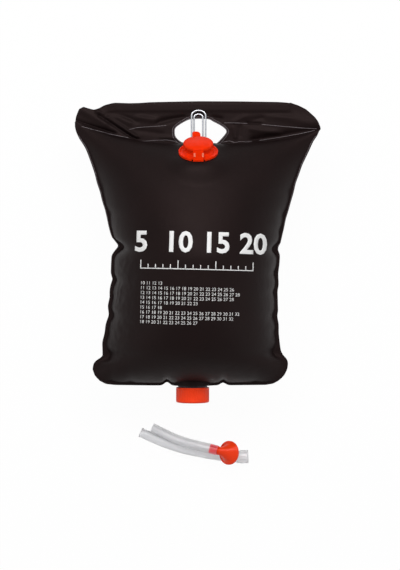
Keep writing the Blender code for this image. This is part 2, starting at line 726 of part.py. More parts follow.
def build_filler_cap(material, filler_frame):
    low = NECK_HEIGHT + GAP
    edge = low + LID_RIM
    plug = NECK_BORE - PLUG_CLEARANCE
    roof = low + LID_WALL
    dome = []
    for step in range(DOME_STEPS + 1):
        turn = step / DOME_STEPS * math.pi / 2
        dome.append((LID_RADIUS * math.sin(turn), edge + LID_DOME * math.cos(turn)))
    hollow = []
    for step in range(DOME_STEPS + 1):
        turn = (1 - step / DOME_STEPS) * math.pi / 2
        hollow.append(((plug - PLUG_WALL) * math.sin(turn), roof + (LID_DOME - LID_WALL / 2) * math.cos(turn)))
    profile = dome
    profile += [(LID_RADIUS, low), (plug, low), (plug, NECK_HEIGHT - PLUG_DEPTH)]
    profile += [(plug - PLUG_WALL, NECK_HEIGHT - PLUG_DEPTH)]
    profile += hollow
    hinge = Vector((0, hinge_y(), hinge_height()))
    pivot = add_frame("lid_hinge", Matrix.Identity(4))
    pivot.parent = filler_frame
    pivot.location = hinge
    shift = Matrix.Translation(-hinge)

    lid = add_object("filler_cap", turned_mesh("filler_cap", profile, closed=False), material, pivot)
    lid.data.transform(shift)

    reach = hinge_y() + KNUCKLE_RADIUS + LIP_CLEARANCE
    lip = [(reach, low), (-LID_RADIUS + TAB_OVERLAP, low), (-LID_RADIUS + TAB_OVERLAP, edge), (reach, edge)]
    lip_mesh = prism_mesh("hinge_lip", lip, "X", -LIP_WIDTH / 2, LIP_WIDTH / 2)
    lip_mesh.transform(shift)
    add_boolean(lid, make_cutter("hinge_lip", lip_mesh, pivot), "UNION")

    tab_mesh = prism_mesh("pull_tab", tab_outline(), "Z", -TAB_THICKNESS / 2, TAB_THICKNESS / 2)
    place = Matrix.Translation((TAB_OFFSET, LID_RADIUS, edge))
    tab_mesh.transform(shift @ place @ Matrix.Rotation(TAB_TILT, 4, "X"))
    add_boolean(lid, make_cutter("pull_tab", tab_mesh, pivot), "UNION")
    finish_shading(lid)


def thread_mesh(name, radius, ridge, start, turns, phase):
    """A rounded ridge that winds up the outlet's axis, thinning to nothing at both ends."""
    count = round(turns * THREAD_STEPS)
    points, shares = [], []
    for step in range(count + 1):
        turn = step / THREAD_STEPS * math.tau
        height = start + step / THREAD_STEPS * THREAD_PITCH
        points.append((radius * math.cos(turn + phase), radius * math.sin(turn + phase), height))
        shares.append(min(1, THREAD_END_SHARE + min(step, count - step) / THREAD_FADE_STEPS))
    return tube_mesh(name, points, ridge, 1, shares=shares)


def nozzle_ledge():
    """Height of the ledge in the barrel that carries the nozzle's disc."""
    return COLLAR_STANDOUT + WEB_FROM_COLLAR


def spout_profile():
    """Closed section of the spout: its barrel, its collar and its flange inside the bag."""
    bore = BARREL_RADIUS - BARREL_WALL
    waist = bore - WEB_LEDGE
    mouth = barrel_mouth()
    bulge = (SPOUT_FLANGE**2 + END_RISE**2 / 4) / (2 * END_RADIUS)
    root = -SEAM_WIDTH - GAP - bulge
    return (
        (bore, nozzle_ledge()),
        (bore, mouth),
        (BARREL_RADIUS, mouth),
        (BARREL_RADIUS, COLLAR_STANDOUT),
        (COLLAR_RADIUS, COLLAR_STANDOUT),
        (COLLAR_RADIUS, root),
        (SPOUT_FLANGE, root),
        (SPOUT_FLANGE, root - SPOUT_FLANGE_THICKNESS),
        (waist, root - SPOUT_FLANGE_THICKNESS),
        (waist, nozzle_ledge()),
    )


def nozzle_profile():
    """Closed section of the barbed nozzle and the disc that holds it in the barrel."""
    low = nozzle_ledge() + GAP
    rim = BARREL_RADIUS - BARREL_WALL - GAP
    tip = barrel_mouth() - NOZZLE_RECESS
    nozzle = NOZZLE_BORE + NOZZLE_WALL
    profile = [(NOZZLE_BORE, low), (NOZZLE_BORE, tip), (nozzle - BARB_HEIGHT, tip)]
    for barb in range(NOZZLE_BARBS):
        foot = tip - (barb + 1) * BARB_LENGTH
        profile += [(nozzle + BARB_HEIGHT, foot), (nozzle, foot)]
    return profile + [(nozzle, low + WEB_THICKNESS), (rim, low + WEB_THICKNESS), (rim, low)]


def boat_outline(side):
    """One of the spout's two wings in the seam, from inside the collar to its thin end."""
    inner = (BARREL_RADIUS + COLLAR_RADIUS) / 2
    root = (inner * math.sin(BOAT_SLOPE), inner * math.cos(BOAT_SLOPE))
    tip = (COLLAR_RADIUS / math.cos(BOAT_SLOPE) - BOAT_TIP, BOAT_TIP / 2)
    shoulder = (COLLAR_RADIUS * math.sin(BOAT_SLOPE), COLLAR_RADIUS * math.cos(BOAT_SLOPE))
    outline = [root, shoulder, tip, (tip[0], -tip[1]), (shoulder[0], -shoulder[1]), (root[0], -root[1])]
    return [(side * x, z) for x, z in outline]


def barrel_mouth():
    return OUTLET_LENGTH - CAP_ROOF - 2 * GAP - SEAL_THICKNESS


def build_outlet(black, rubber, red):
    axis = add_frame("outlet_axis", outlet_frame())
    spout = add_object("outlet_spout", turned_mesh("outlet_spout", spout_profile()), black, axis)
    for name, outline in (("boat_front", boat_outline(1)), ("boat_back", boat_outline(-1))):
        add_boolean(spout, make_cutter(name, prism_mesh(name, outline, "Z", -SEAM_WIDTH, -GAP), axis), "UNION")
    first = COLLAR_STANDOUT + THREAD_START
    ridge = thread_mesh("spout_thread", BARREL_RADIUS, THREAD_RADIUS, first, THREAD_TURNS, 0)
    add_boolean(spout, make_cutter("spout_thread", ridge, axis), "UNION")
    finish_shading(spout)
    add_object("outlet_nozzle", turned_mesh("outlet_nozzle", nozzle_profile()), black, axis)

    bore = BARREL_RADIUS + THREAD_CLEARANCE
    mouth = barrel_mouth()
    outer = bore - GAP
    ring = ((outer, mouth + GAP), (outer, mouth + GAP + SEAL_THICKNESS))
    ring += tuple((outer - SEAL_WIDTH, height) for _, height in reversed(ring))
    add_object("outlet_seal", turned_mesh("outlet_seal", ring), rubber, axis)

    foot = COLLAR_STANDOUT + CAP_CLEARANCE
    floor = OUTLET_LENGTH - CAP_ROOF
    profile = (
        (0, OUTLET_LENGTH),
        (CAP_RADIUS - CAP_CHAMFER, OUTLET_LENGTH),
        (CAP_RADIUS, OUTLET_LENGTH - CAP_CHAMFER),
        (CAP_RADIUS, foot + CAP_FOOT_CHAMFER),
        (CAP_RADIUS - CAP_FOOT_CHAMFER, foot),
        (bore, foot),
        (bore, floor),
        (0, floor),
    )
    mesh = turned_mesh("outlet_cap", profile, 2 * CAP_RIBS, False, RIB_DEPTH, CAP_RADIUS)
    cap = add_object("outlet_cap", mesh, red, axis)
    start = first - THREAD_PITCH / 2
    ridge = thread_mesh("cap_thread", bore, CAP_THREAD_RADIUS, start, CAP_THREAD_TURNS, 0)
    add_boolean(cap, make_cutter("cap_thread", ridge, axis), "UNION")
    finish_shading(cap)


def build_loop(material):
    """The front arch and legs, the two folds through the hand hole, and the back legs and arch."""
    offset = SLEEVE_RISE + GAP / 2 + FILM + GAP + WIRE / 2
    sleeve_low = TOP_Y - HEM_MARGIN - BATTEN_WIDTH - GAP
    top = sleeve_low + LOOP_OVER_HEM - WIRE / 2
    fold = top - LOOP_REACH
    level = middle_height()

    def arch(middle, width, height, direction):
        half = width / 2
        spring = top - ARCH_SHARE * half
        for step in range(ARCH_STEPS + 1):
            turn = step / ARCH_STEPS * math.pi
            x = middle - direction * half * math.cos(turn)
            yield (x, spring + ARCH_SHARE * half * math.sin(turn), level + height)

    def turn_through(start_x, end_x, sign):
        for step in range(FOLD_STEPS + 1):
            turn = step / FOLD_STEPS * math.pi
            share = (1 - math.cos(turn)) / 2
            x = start_x + (end_x - start_x) * share
            yield (x, fold + offset - offset * math.sin(turn), level + sign * offset * math.cos(turn))

    back = LOOP_X + LOOP_BACK_SHIFT
    points = list(arch(LOOP_X, LOOP_WIDTH, offset, 1))
    points += turn_through(LOOP_X + LOOP_WIDTH / 2, back + LOOP_BACK_WIDTH / 2, 1)
    points += arch(back, LOOP_BACK_WIDTH, -offset, -1)
    points += turn_through(back - LOOP_BACK_WIDTH / 2, LOOP_X - LOOP_WIDTH / 2, -1)
    add_object("hanging_loop", tube_mesh("hanging_loop", points, WIRE / 2, WIRE_SIDES, closed=True), material)


def smooth_route(route, flare=0.0, ramp=0.0):
    """Points read from one smooth curve through a route's own points.

    They are even along it, but for a flare and the ramp before it, which have a point at each end.
    """
    points = [np.array(point) for point in route]
    points = [2 * points[0] - points[1], *points, 2 * points[-1] - points[-2]]
    fine = []
    for first, start, end, last in zip(points, points[1:], points[2:], points[3:]):
        for share in np.linspace(0, 1, 12, endpoint=False):
            bend = (2 * first - 5 * start + 4 * end - last) * share**2
            twist = (3 * start - first - 3 * end + last) * share**3
            fine.append((2 * start + (end - first) * share + bend + twist) / 2)
    fine = np.array([*fine, points[-2]])
    along = np.concatenate([[0], np.cumsum(np.linalg.norm(np.diff(fine, axis=0), axis=1))])
    even = along[-1] - flare - ramp
    steps = round(even / (HOSE_STEP_SHARE * 2 * HOSE_RADIUS))
    wanted = list(np.linspace(0, even, steps + 1))
    if flare:
        wanted += [along[-1] - flare, along[-1]]
    return [Vector([np.interp(place, along, fine[:, axis]) for axis in range(3)]) for place in wanted]


def build_hose(name, route, material, flared=False):
    points = smooth_route(route, FLARE_LENGTH, FLARE_RAMP) if flared else smooth_route(route)
    shares = [1.0] * len(points)
    if flared:
        shares[-2:] = [FLARE_RADIUS / HOSE_RADIUS] * 2
    ends = [points[0] + (points[0] - points[1]).normalized() * OVERRUN, *points]
    ends.append(points[-1] + (points[-1] - points[-2]).normalized() * OVERRUN)
    bore_shares = [shares[0], *shares, shares[-1]]
    hose = add_object(name, tube_mesh(name, points, HOSE_RADIUS, HOSE_SIDES, shares=shares), material)
    bore = tube_mesh(name + "_bore", ends, HOSE_RADIUS - HOSE_WALL, HOSE_SIDES, shares=bore_shares)
    add_boolean(hose, make_cutter(name + "_bore", bore))
    finish_shading(hose)
    return points


def dome_profile(radius, rim, rise, low):
    profile = [(0, low), (radius, low)]
    for step in range(DOME_STEPS + 1):
        turn = (1 - step / DOME_STEPS) * math.pi / 2
        profile.append((radius * math.sin(turn), rim + rise * math.cos(turn)))
    return profile


def funnel_mesh(stem_in_rose):
    """The rose's outside: from the round end of its slanting neck to the rim of its spray face."""
    bm = bmesh.new()
    neck, rim, foot = [], [], []
    for side in range(FUNNEL_SIDES):
        turn = side / FUNNEL_SIDES * math.tau
        across, up = math.cos(turn), math.sin(turn)
        neck.append(stem_in_rose @ Vector((NECK_RADIUS * across, -NECK_RADIUS * up, NECK_LENGTH)))
        rim.append(Vector((ROSE_RADIUS * across, ROSE_RADIUS * up, ROSE_RIM)))
        foot.append(Vector((ROSE_RADIUS * across, ROSE_RADIUS * up, 0)))
    rings = []
    for step in range(FUNNEL_STEPS + 1):
        share = step / FUNNEL_STEPS
        swell = Vector((0, 0, ROSE_SWELL * math.sin(share * math.pi)))
        rings.append([bm.verts.new(a.lerp(b, share) + swell) for a, b in zip(neck, rim)])
    rings.append([bm.verts.new(point) for point in foot])
    for first, second in zip(rings, rings[1:]):
        for side in range(FUNNEL_SIDES):
            after = (side + 1) % FUNNEL_SIDES
            bm.faces.new((first[side], first[after], second[after], second[side]))
    bm.faces.new(rings[0])
    bm.faces.new(rings[-1])
    bmesh.ops.recalc_face_normals(bm, faces=bm.faces)
    return mesh_of("funnel", bm)


def build_rose(red, hose_points):
    """The rose in its own frame: Z out of its back, with its stem lying in the hose's end."""
    along = (hose_points[-1] - hose_points[-2]).normalized()
    back = Vector(
        (
            math.sin(ROSE_TILT) * math.cos(ROSE_TURN),
            math.sin(ROSE_TILT) * math.sin(ROSE_TURN),
            math.cos(ROSE_TILT),
        )
    )
    centre = hose_points[-1] + along * STEM_REACH - back * ROSE_AXIS_HEIGHT
    side = back.cross(along).normalized()
    turn = Matrix((side, back.cross(side), back)).transposed().to_4x4()
    place = Matrix.Translation(centre) @ turn
    stem_turn = Matrix((side, along.cross(side), along)).transposed().to_4x4()
    stem_place = Matrix.Translation(hose_points[-1]) @ stem_turn
    frame, stem_frame = add_frame("rose_frame", place), add_frame("stem_frame", stem_place)

    rose = add_object("rose_body", funnel_mesh(place.inverted() @ stem_place), red, frame)
    neck = NECK_RADIUS - GAP
    profile = (
        (0, NECK_LENGTH + GAP),
        (neck, NECK_LENGTH + GAP),
        (neck, GAP),
        (STEM_RADIUS, GAP),
        (STEM_RADIUS, -STEM_IN_HOSE),
        (0, -STEM_IN_HOSE),
    )
    stem = turned_mesh("stem", profile, 24, closed=False)
    add_boolean(rose, make_cutter("stem", stem, stem_frame), "UNION")
    inside = ROSE_RADIUS - ROSE_WALL
    rim = ROSE_RIM - ROSE_WALL
    hollow = dome_profile(inside, rim, ROSE_HOLLOW - rim, -OVERRUN)
    add_boolean(rose, make_cutter("rose_hollow", turned_mesh("rose_hollow", hollow, closed=False), frame))
    reach = STEM_REACH + BORE_RUN
    bore = cylinder_mesh("stem_bore", STEM_RADIUS - STEM_WALL, -STEM_IN_HOSE - OVERRUN, reach, 20)
    add_boolean(rose, make_cutter("stem_bore", bore, stem_frame))
    finish_shading(rose)

    disc = cylinder_mesh("rose_face", inside - GAP, 0, FACE_THICKNESS)
    face = add_object("rose_face", disc, red, frame)
    add_boolean(face, make_cutter("spray_holes", spray_holes_mesh(inside - GAP), frame))
    finish_shading(face)


def spray_holes_mesh(radius):
    bm = bmesh.new()
    for count, share in FACE_RINGS:
        for place in range(count):
            turn = place / count * math.tau
            at = Matrix.Translation((radius * share * math.cos(turn), radius * share * math.sin(turn), 0))
            bmesh.ops.create_cone(
                bm, cap_ends=True, segments=HOLE_SIDES, radius1=FACE_HOLE, radius2=FACE_HOLE,
                depth=2 * OVERRUN, matrix=at,
            )
    return mesh_of("spray_holes", bm)


def main():
    clear_scene()
    film = make_material("black_pvc_film", BLACK_FILM, 0.38)
    red = make_material("red_plastic", RED_PLASTIC, 0.30)
    rose_red = make_material("rose_red_plastic", ROSE_RED, 0.30)
    black = make_material("black_plastic", BLACK_PLASTIC, 0.40)
    steel = make_material("steel_wire", STEEL, 0.22, 1.0)
    clear = make_material("clear_pvc", CLEAR_PVC, 0.20, alpha=0.6)
    rubber = make_material("rubber", RUBBER, 0.70)
    batten_plastic = make_material("white_plastic", WHITE_PLASTIC, 0.50)

    filler_frame = add_frame("filler_frame", filler_matrix())
    build_bag(film, batten_plastic, filler_frame)
    build_filler_base(red, filler_frame)
    build_filler_cap(red, filler_frame)
    build_outlet(black, rubber, red)
    build_loop(steel)
    build_hose("plain_hose", PLAIN_HOSE_ROUTE, clear, flared=True)
    hose_points = build_hose("rose_hose", ROSE_HOSE_ROUTE, clear)
    build_rose(rose_red, hose_points)


main()
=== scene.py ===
"""The looks of a camp shower bag: welded black film full of water, red moulded fittings, a wire
hanging loop, and two clear hoses with a shower rose lying below it.

Metres, +Z up. The bag lies on its back, with its outlet towards -Y and its header towards +Y.
"""

import json
import math

import bmesh
import bpy
import numpy as np
from bpy.props import FloatProperty, FloatVectorProperty, IntProperty, PointerProperty
from bpy.types import Operator, Panel, PropertyGroup
from mathutils import Matrix, Vector, noise
from mathutils.bvhtree import BVHTree


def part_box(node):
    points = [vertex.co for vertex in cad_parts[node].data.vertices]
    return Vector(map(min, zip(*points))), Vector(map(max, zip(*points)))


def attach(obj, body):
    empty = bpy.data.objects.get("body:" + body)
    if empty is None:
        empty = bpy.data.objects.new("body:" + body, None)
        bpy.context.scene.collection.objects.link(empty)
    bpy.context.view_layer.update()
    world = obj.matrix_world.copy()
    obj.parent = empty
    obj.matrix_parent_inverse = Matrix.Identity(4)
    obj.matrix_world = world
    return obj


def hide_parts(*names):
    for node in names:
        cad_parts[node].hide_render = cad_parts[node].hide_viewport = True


bl_info = {
    "name": "Camp shower bag",
    "version": (1, 0, 0),
    "blender": (4, 5, 0),
    "location": "View3D > Sidebar > Shower bag",
    "description": "Builds a filled camp shower bag with its hoses and rose round a packed frame",
    "category": "Add Mesh",
}

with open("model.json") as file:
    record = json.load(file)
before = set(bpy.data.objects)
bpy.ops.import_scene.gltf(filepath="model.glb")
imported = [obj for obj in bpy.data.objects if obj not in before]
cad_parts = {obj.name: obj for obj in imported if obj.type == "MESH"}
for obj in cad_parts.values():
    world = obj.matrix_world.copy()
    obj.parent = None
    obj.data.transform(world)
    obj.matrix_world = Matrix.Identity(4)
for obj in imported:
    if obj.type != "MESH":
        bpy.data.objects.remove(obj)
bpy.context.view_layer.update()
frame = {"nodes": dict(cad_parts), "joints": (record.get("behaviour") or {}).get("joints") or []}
NODES = frame["nodes"]
MM = 0.001


def middle_of(node):
    low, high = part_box(node)
    return (low + high) / 2


def linear(code):
    """An sRGB hex colour as linear red, green, blue and alpha."""
    shares = [int(code[place:place + 2], 16) / 255 for place in (0, 2, 4)]
    return tuple(c / 12.92 if c <= 0.04045 else ((c + 0.055) / 1.055) ** 2.4 for c in shares) + (1.0,)


# Places that the frame gives
SEAM_LEVEL = middle_of("header_batten").z  # height of the plane that both films are welded in
TOP_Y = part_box("header_front")[1].y
EDGE_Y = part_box("front_panel")[0].y
OUTLET = middle_of("outlet_cap")
LOOP_X = -1.0 * MM
JOINTS = {joint["name"]: joint for joint in frame["joints"]}

# The filled bag, in the sizes that its solids have
GAP = 0.3 * MM
HEADER_LENGTH = 69 * MM
SEAM_WIDTH = 5 * MM
FLAT_WIDTH = 390 * MM  # of one film between its side seams, before filling
END_RADIUS = 100 * MM  # of the film where it rounds over an end weld
END_BLEND = 5
MIDDLE_RISE = 86 * MM  # about how high the film's middle stands, for the spacing of its rows
HEADER_SPACING = 2.3 * MM  # of the rows up the header
WELD_Y = TOP_Y - HEADER_LENGTH
SEAM_Y = EDGE_Y + SEAM_WIDTH
SCALLOP_REACH = 24 * MM  # how far a notch of a side seam reaches into the film
NOTCH_REACH = 12 * MM  # the same for the bottom seam
GATHER = 1.05  # how much longer the side seams were cut than they lie
SLACK = 1.01  # the same across the film

# Edges of the filled bag, in millimetres: Y, then X at the left and at the right
BODY_EDGES_MM = (
    (207.8, -198.6, 193.8), (199.8, -198.4, 197.3), (193.4, -197.1, 191.4), (185.4, -193.9, 187.9),
    (177.4, -189.6, 182.5), (171.0, -184.9, 179.4), (163.0, -180.7, 176.0), (153.4, -177.2, 171.6),
    (139.0, -172.1, 164.8), (124.6, -167.4, 160.0), (110.2, -164.1, 154.7), (95.8, -159.2, 151.8),
    (81.4, -156.2, 147.7), (67.0, -151.4, 143.9), (52.6, -148.4, 139.5), (38.2, -145.6, 136.9),
    (23.8, -141.5, 133.6), (14.2, -133.7, 131.7), (9.4, -129.7, 128.4), (4.6, -134.7, 126.7),
    (-5.0, -141.8, 130.9), (-19.4, -142.7, 129.9), (-33.8, -143.2, 128.1), (-43.4, -140.4, 128.5),
    (-53.0, -143.6, 129.2), (-62.6, -145.4, 127.1), (-72.2, -144.9, 127.8), (-86.6, -148.6, 128.2),
    (-96.2, -147.0, 128.8), (-101.0, -146.5, 127.0), (-105.8, -148.4, 127.8), (-115.4, -152.1, 129.9),
    (-129.8, -153.6, 130.0), (-144.2, -157.8, 131.6), (-158.6, -157.4, 133.7), (-163.4, -157.3, 135.7),
    (-168.2, -158.2, 141.5), (-173.0, -167.9, 144.6), (-177.8, -172.0, 145.9), (-187.4, -174.0, 144.8),
    (-197.0, -170.7, 140.2), (-201.8, -167.0, 135.9), (-206.6, -162.0, 130.0),
)
HEADER_LEFT_MM = (
    (207.8, -198.6), (209.4, -198.0), (215.8, -197.2), (222.2, -195.0), (228.6, -191.9), (231.8, -185.2),
)
HEADER_RIGHT_MM = (
    (193.4, 191.4), (195.4, 196.4), (197.4, 197.6), (199.8, 197.3), (203.0, 196.1), (209.4, 192.6),
    (215.8, 187.3), (222.2, 179.8), (228.6, 171.6), (235.0, 157.8), (238.2, 146.2),
)
# Lines across the bag, in millimetres: X, then Y
WELD_LINE_MM = (
    (-198.6, 207.8), (-170, 197.2), (-140, 186.6), (-102, 177.8), (-70, 174.2), (-45, 172.4), (0, 171.9),
    (45, 172.2), (75, 173.4), (113, 176.6), (150, 182.6), (175, 188.4), (191.4, 193.4),
)
TOP_LINE_MM = (
    (-185.2, 231.8), (-176, 229.2), (-166.8, 226.8), (-158, 231.0), (-151.3, 235.0), (-135.6, 238.4),
    (-112, 237.6), (-95, 238.0), (-78.8, 239.2), (-30, 240.4), (1.2, 240.9), (65, 240.6), (126, 239.6),
    (146.2, 238.2),
)
BOTTOM_LINE_MM = (
    (-162, -206.6), (-152.4, -211.4), (-134.8, -213.0), (-78, -213.7), (17, -213.7), (65, -213.2),
    (108, -212.8), (122, -210.8), (130, -206.6),
)
# Notches where the bottom seam is gathered: X, depth and half width
FOOT_NOTCHES_MM = ((-51.6, 6.2, 5.0), (38, 4.8, 5.0))
# Short folds where a side seam is gathered: side, Y, depth, reach into the film, half width
PUCKERS_MM = (
    (-1, 9, 11, 30, 7), (-1, -43, 5, 24, 6), (-1, -100, 5, 26, 7), (-1, -164, 9, 34, 8),
    (-1, -72, 2, 20, 5), (-1, 60, 2.5, 34, 7), (-1, 104, 2, 30, 6), (-1, -130, 2, 20, 5), (1, 5, 10, 30, 7),
    (1, -33, 4, 26, 6), (1, -63, 4, 26, 6), (1, -101, 5, 26, 6), (1, -160, 9, 34, 8), (1, 34, 3, 30, 6),
    (1, 60, 3, 34, 7), (1, 96, 2, 30, 6), (1, -130, 2, 20, 5),
)
# The same up from the bottom seam: X, depth, reach, half width
FOOT_PUCKERS_MM = ((-51.6, 3, 10, 4), (38, 3, 9, 4), (-110, 1.5, 12, 6), (90, 1.5, 12, 6), (-140, 2, 12, 5))
# Folds of the header: the two ends of a ridge, its height and its half width
HEADER_FOLDS_MM = (
    ((-163, 225), (-101, 184), 3.8, 3.0), ((-159, 218.6), (-98, 177.6), -3.4, 3.4),
    ((-194, 207), (-137, 189.5), -3.6, 3.8), ((-186, 226), (-150, 205), 1.8, 6.0),
    ((-150, 224), (-112, 206), 1.5, 5.0), ((-128, 222), (-100, 208), -1.5, 3.4),
    ((-96, 216), (-70, 210), 1.8, 5.0), ((-66, 207), (-14, 220), -2.8, 4.6),
    ((-98, 194), (-60, 189), -1.0, 4.0), ((10, 221), (34, 213), -2.4, 4.2),
    ((88, 179), (187, 196), -4.6, 6.0), ((76, 206.5), (98, 205), -2.0, 1.9),
    ((56, 208), (76, 219), 1.4, 3.4), ((74, 207), (100, 215), -1.2, 4.0), ((54, 199), (58, 184), 1.2, 3.0),
    ((66, 200), (64, 186), -1.2, 3.0), ((110, 224), (180, 205), 2.0, 8.0),
    ((-36, 182), (-60, 184), 1.0, 3.0), ((84, 196), (130, 190), 1.6, 4.0),
)

# The filler's own frame: Z out of the film and Y towards the header
HINGE_Y = -25.1 * MM
HINGE_Z = 15.1 * MM
FILLER_LEAN = math.atan2(0.85555, 0.51772)  # from +Z towards the header
FLANGE_RADIUS = 30.8 * MM
SEAT_FADE = 28 * MM
NECK_BORE = 18.0 * MM
LID_RIBS = 64
STRAP_ROOT_MM, STRAP_TOP_MM = (-30.4, 0.3), (-25.95, 15.95)  # of the strap's outer face, as Y and Z
STRAP_HALF_WIDTH_MM = 8
NOTCH_LEFT_ENDS_MM, NOTCH_WIDTH_MM = (-10.2, 8.2), 2.0
STRAP_RIBS_X_MM, STRAP_RIB_HEIGHTS_MM, STRAP_RIB_RADIUS = (-5.7, 7.2), (7.4, 9.4, 11.4, 13.2), 1.6 * MM
LID_RADIUS_MM, LID_FOOT_MM, LID_BROW_MM = 23.5, 13.8, 16.4
PLUG_RADIUS_MM, PLUG_BORE_MM, PLUG_FOOT_MM = 17.4, 15.8, 9.5

# The spout that both films are wrapped over
COLLAR_RADIUS = 23.3 * MM
WRAP_RADIUS = COLLAR_RADIUS + 0.7 * MM
BOAT_SLOPE = math.radians(45)
CAP_BORE_MM, CAP_RIB_DEPTH = 22.9, 0.6 * MM
THREAD_FOOT_MM, THREAD_PITCH_MM, THREAD_TURNS, THREAD_RADIUS = 4.45, 4.5, 1.25, 0.8 * MM

# Outline of the hand hole, as shares of half its width and half its height
HOLE_WIDTH = 82.4 * MM
HOLE_HEIGHT = 38.0 * MM
HOLE_MIDDLE = Vector((2.0 * MM, WELD_Y + 2.6 * MM + HOLE_HEIGHT / 2, 0))
HOLE_SHARES = (
    (-1.00, -0.10), (-0.95, 0.30), (-0.62, 0.78), (-0.33, 1.00), (0.27, 1.00), (0.52, 0.76), (0.84, 0.38),
    (1.00, 0.02), (0.94, -0.32), (0.66, -0.98), (0.54, -1.06), (0.40, -1.00), (-0.56, -1.00),
    (-0.80, -0.84), (-0.96, -0.50),
)

# Centre lines of the two loose hoses on the ground, from their left ends
PLAIN_HOSE_ROUTE = (
    (-0.0978, -0.2975, 0.0080), (-0.0820, -0.3045, 0.0080), (-0.0687, -0.3105, 0.0080),
    (-0.0554, -0.3159, 0.0080), (-0.0421, -0.3204, 0.0080), (-0.0288, -0.3244, 0.0080),
    (-0.0154, -0.3277, 0.0080), (0.0045, -0.3317, 0.0080), (0.0245, -0.3355, 0.0080),
    (0.0445, -0.3377, 0.0086), (0.0644, -0.3382, 0.0107), (0.0811, -0.3376, 0.0114),
)
ROSE_HOSE_ROUTE = (
    (-0.0785, -0.2896, 0.0157), (-0.0619, -0.2973, 0.0160), (-0.0486, -0.3037, 0.0180),
    (-0.0353, -0.3093, 0.0194), (-0.0154, -0.3154, 0.0214), (0.0045, -0.3200, 0.0246),
    (0.0190, -0.3230, 0.0277), (0.0301, -0.3256, 0.0303),
)
HOSE_RADIUS = 8.0 * MM
HOSE_WALL = 2.0 * MM
ROSE_TILT = math.radians(39.7)  # from +Z to the axis of the rose's back
ROSE_TURN = math.radians(170.5)  # heading of that axis, from +X

# Weld lines over the header, in millimetres
HEADER_WELDS_MM = (
    ("header_weld_left", ((-112, 195.5), (-100, 198.6), (-89.5, 199.6), (-73.5, 200.4), (-53.5, 202.2))),
    ("header_weld_right", ((40, 206.4), (58, 206.2), (77, 205.4))),
    ("header_weld_far_right", ((100, 203.8), (124, 201.6), (141, 200.2), (161, 198.4), (188, 197.2))),
    ("water_weld_far_left", ((-188, 200.4), (-163, 193.4), (-137, 187.2), (-113, 182.4))),
    ("water_weld_left", ((-91, 176.6), (-73.5, 178.0), (-53.5, 179.0), (-42, 177.6), (-35, 175.0))),
    ("water_weld_right", ((38.5, 175.6), (48, 177.4), (57, 174.6), (65, 176.4), (76, 175.8), (84, 177.2))),
    ("water_weld_far_right", ((96, 178.4), (130, 183.4), (160, 189.0), (185, 194.2))),
)

# Printed scale: its numbers and their step, then the table below it, with how many plain numbers a line holds
SCALE_NUMBERS = ("5", "10", "15", "20")
SCALE_STEP = 58 * MM
SCALE_MIDDLE_X = -3 * MM
SCALE_TILT = math.radians(-1.4)
SCALE_NUMBER_Y, SCALE_LINE_Y, SCALE_TABLE_Y = 11 * MM, -29 * MM, -52 * MM
SCALE_TABLE_COUNTS = (4, 16, 17, 16, 10, 4, 17, 16, 10)
SCALE_TABLE_PITCH = 7.5 * MM
SCALE_NUMBER_SIZE, SCALE_NUMBER_WEIGHT = 44 * MM, 1.2 * MM
SCALE_TABLE_SIZE = 7.2 * MM
SCALE_TABLE_LEFT = SCALE_MIDDLE_X - 87 * MM
SCALE_STROKE = 1.4 * MM  # width of the line and its ticks
SCALE_TICKS = 5  # from one number to the next
SCALE_TICK, SCALE_LONG_TICK = 6 * MM, 12 * MM
INK_CELL = 4 * MM  # the print is cut into cells this wide, so that it bends with the film
INK_LIFT, INK_THICKNESS = 0.08 * MM, 0.12 * MM

# Beads that the welding left: how far outside the hole's cut or inside the seam's edge, and their radius
HOLE_EDGE_OUT, HOLE_EDGE_BEAD = 0.9 * MM, 0.55 * MM
HOLE_WELD_OUT, HOLE_WELD_BEAD = 3.6 * MM, 0.4 * MM
SEAM_EDGE_IN, SEAM_EDGE_BEAD = 1.9 * MM, 0.4 * MM
HEADER_WELD_BEAD = 0.45 * MM
BEAD_STEP, SEAM_EDGE_STEP = 2.5 * MM, 3 * MM  # from point to point along them
SEAM_EDGE_LOW, SEAM_EDGE_HIGH = -168 * MM, 188 * MM

# The hanging loop's two rings: middle, half width, how much lower the top lies than the outer one's, and how
# much closer the ring lies to the header
LOOP_RINGS = ((LOOP_X, 11.25 * MM, 0, 0), (LOOP_X - 0.3 * MM, 7.0 * MM, 6 * MM, 0.2 * MM))
ARCH_SHARE = 0.72  # of the rings' arches, height by half width

# Hoses and rose
HOSE_STATIONS = 91
PLAIN_HOSE_FLARE = 0.35  # how much wider the plain hose is at its right end
FLARE_LENGTH, FLARE_RUN = 23 * MM, 6 * MM  # where the flare starts before the end, and how fast it is full
ROSE_OUT, ROSE_DOWN = 16.5 * MM, 6.8 * MM  # to the face's middle: on from the hose's end, then down
ROSE_NECK, ROSE_NECK_RADIUS = 4.2 * MM, 7.2 * MM  # the bell starts this far past the hose's end
ROSE_SHOULDER, ROSE_SHOULDER_RADIUS = 3.8 * MM, 19.0 * MM  # and widens to this, above the face
STEM_RADIUS_MM, BARB_RADIUS_MM = 5.3, 5.7
STEM_REACH = 12.9 * MM  # of the stem into its hose
PAINTED_STEM_FADE = 1 * MM  # over which the hose's colour turns to the painted red of the stem seen through it

# Lamps: name, place, size and share of the key light's power
LAMPS = (
    ("overhead", (0.0, 1.2, 2.1), (2.4, 0.9), 1.0),
    ("left_fill", (-1.9, -0.6, 1.3), (1.0, 1.6), 0.14),
    ("right_fill", (1.9, -0.6, 1.3), (1.0, 1.6), 0.14),
)
FLOOR_GLOW = 0.97  # share of the floor that is plain white to the camera; the rest shows the shadow
FLOOR_DROP = 0.1 * MM


# Sizes and colours that a user would change


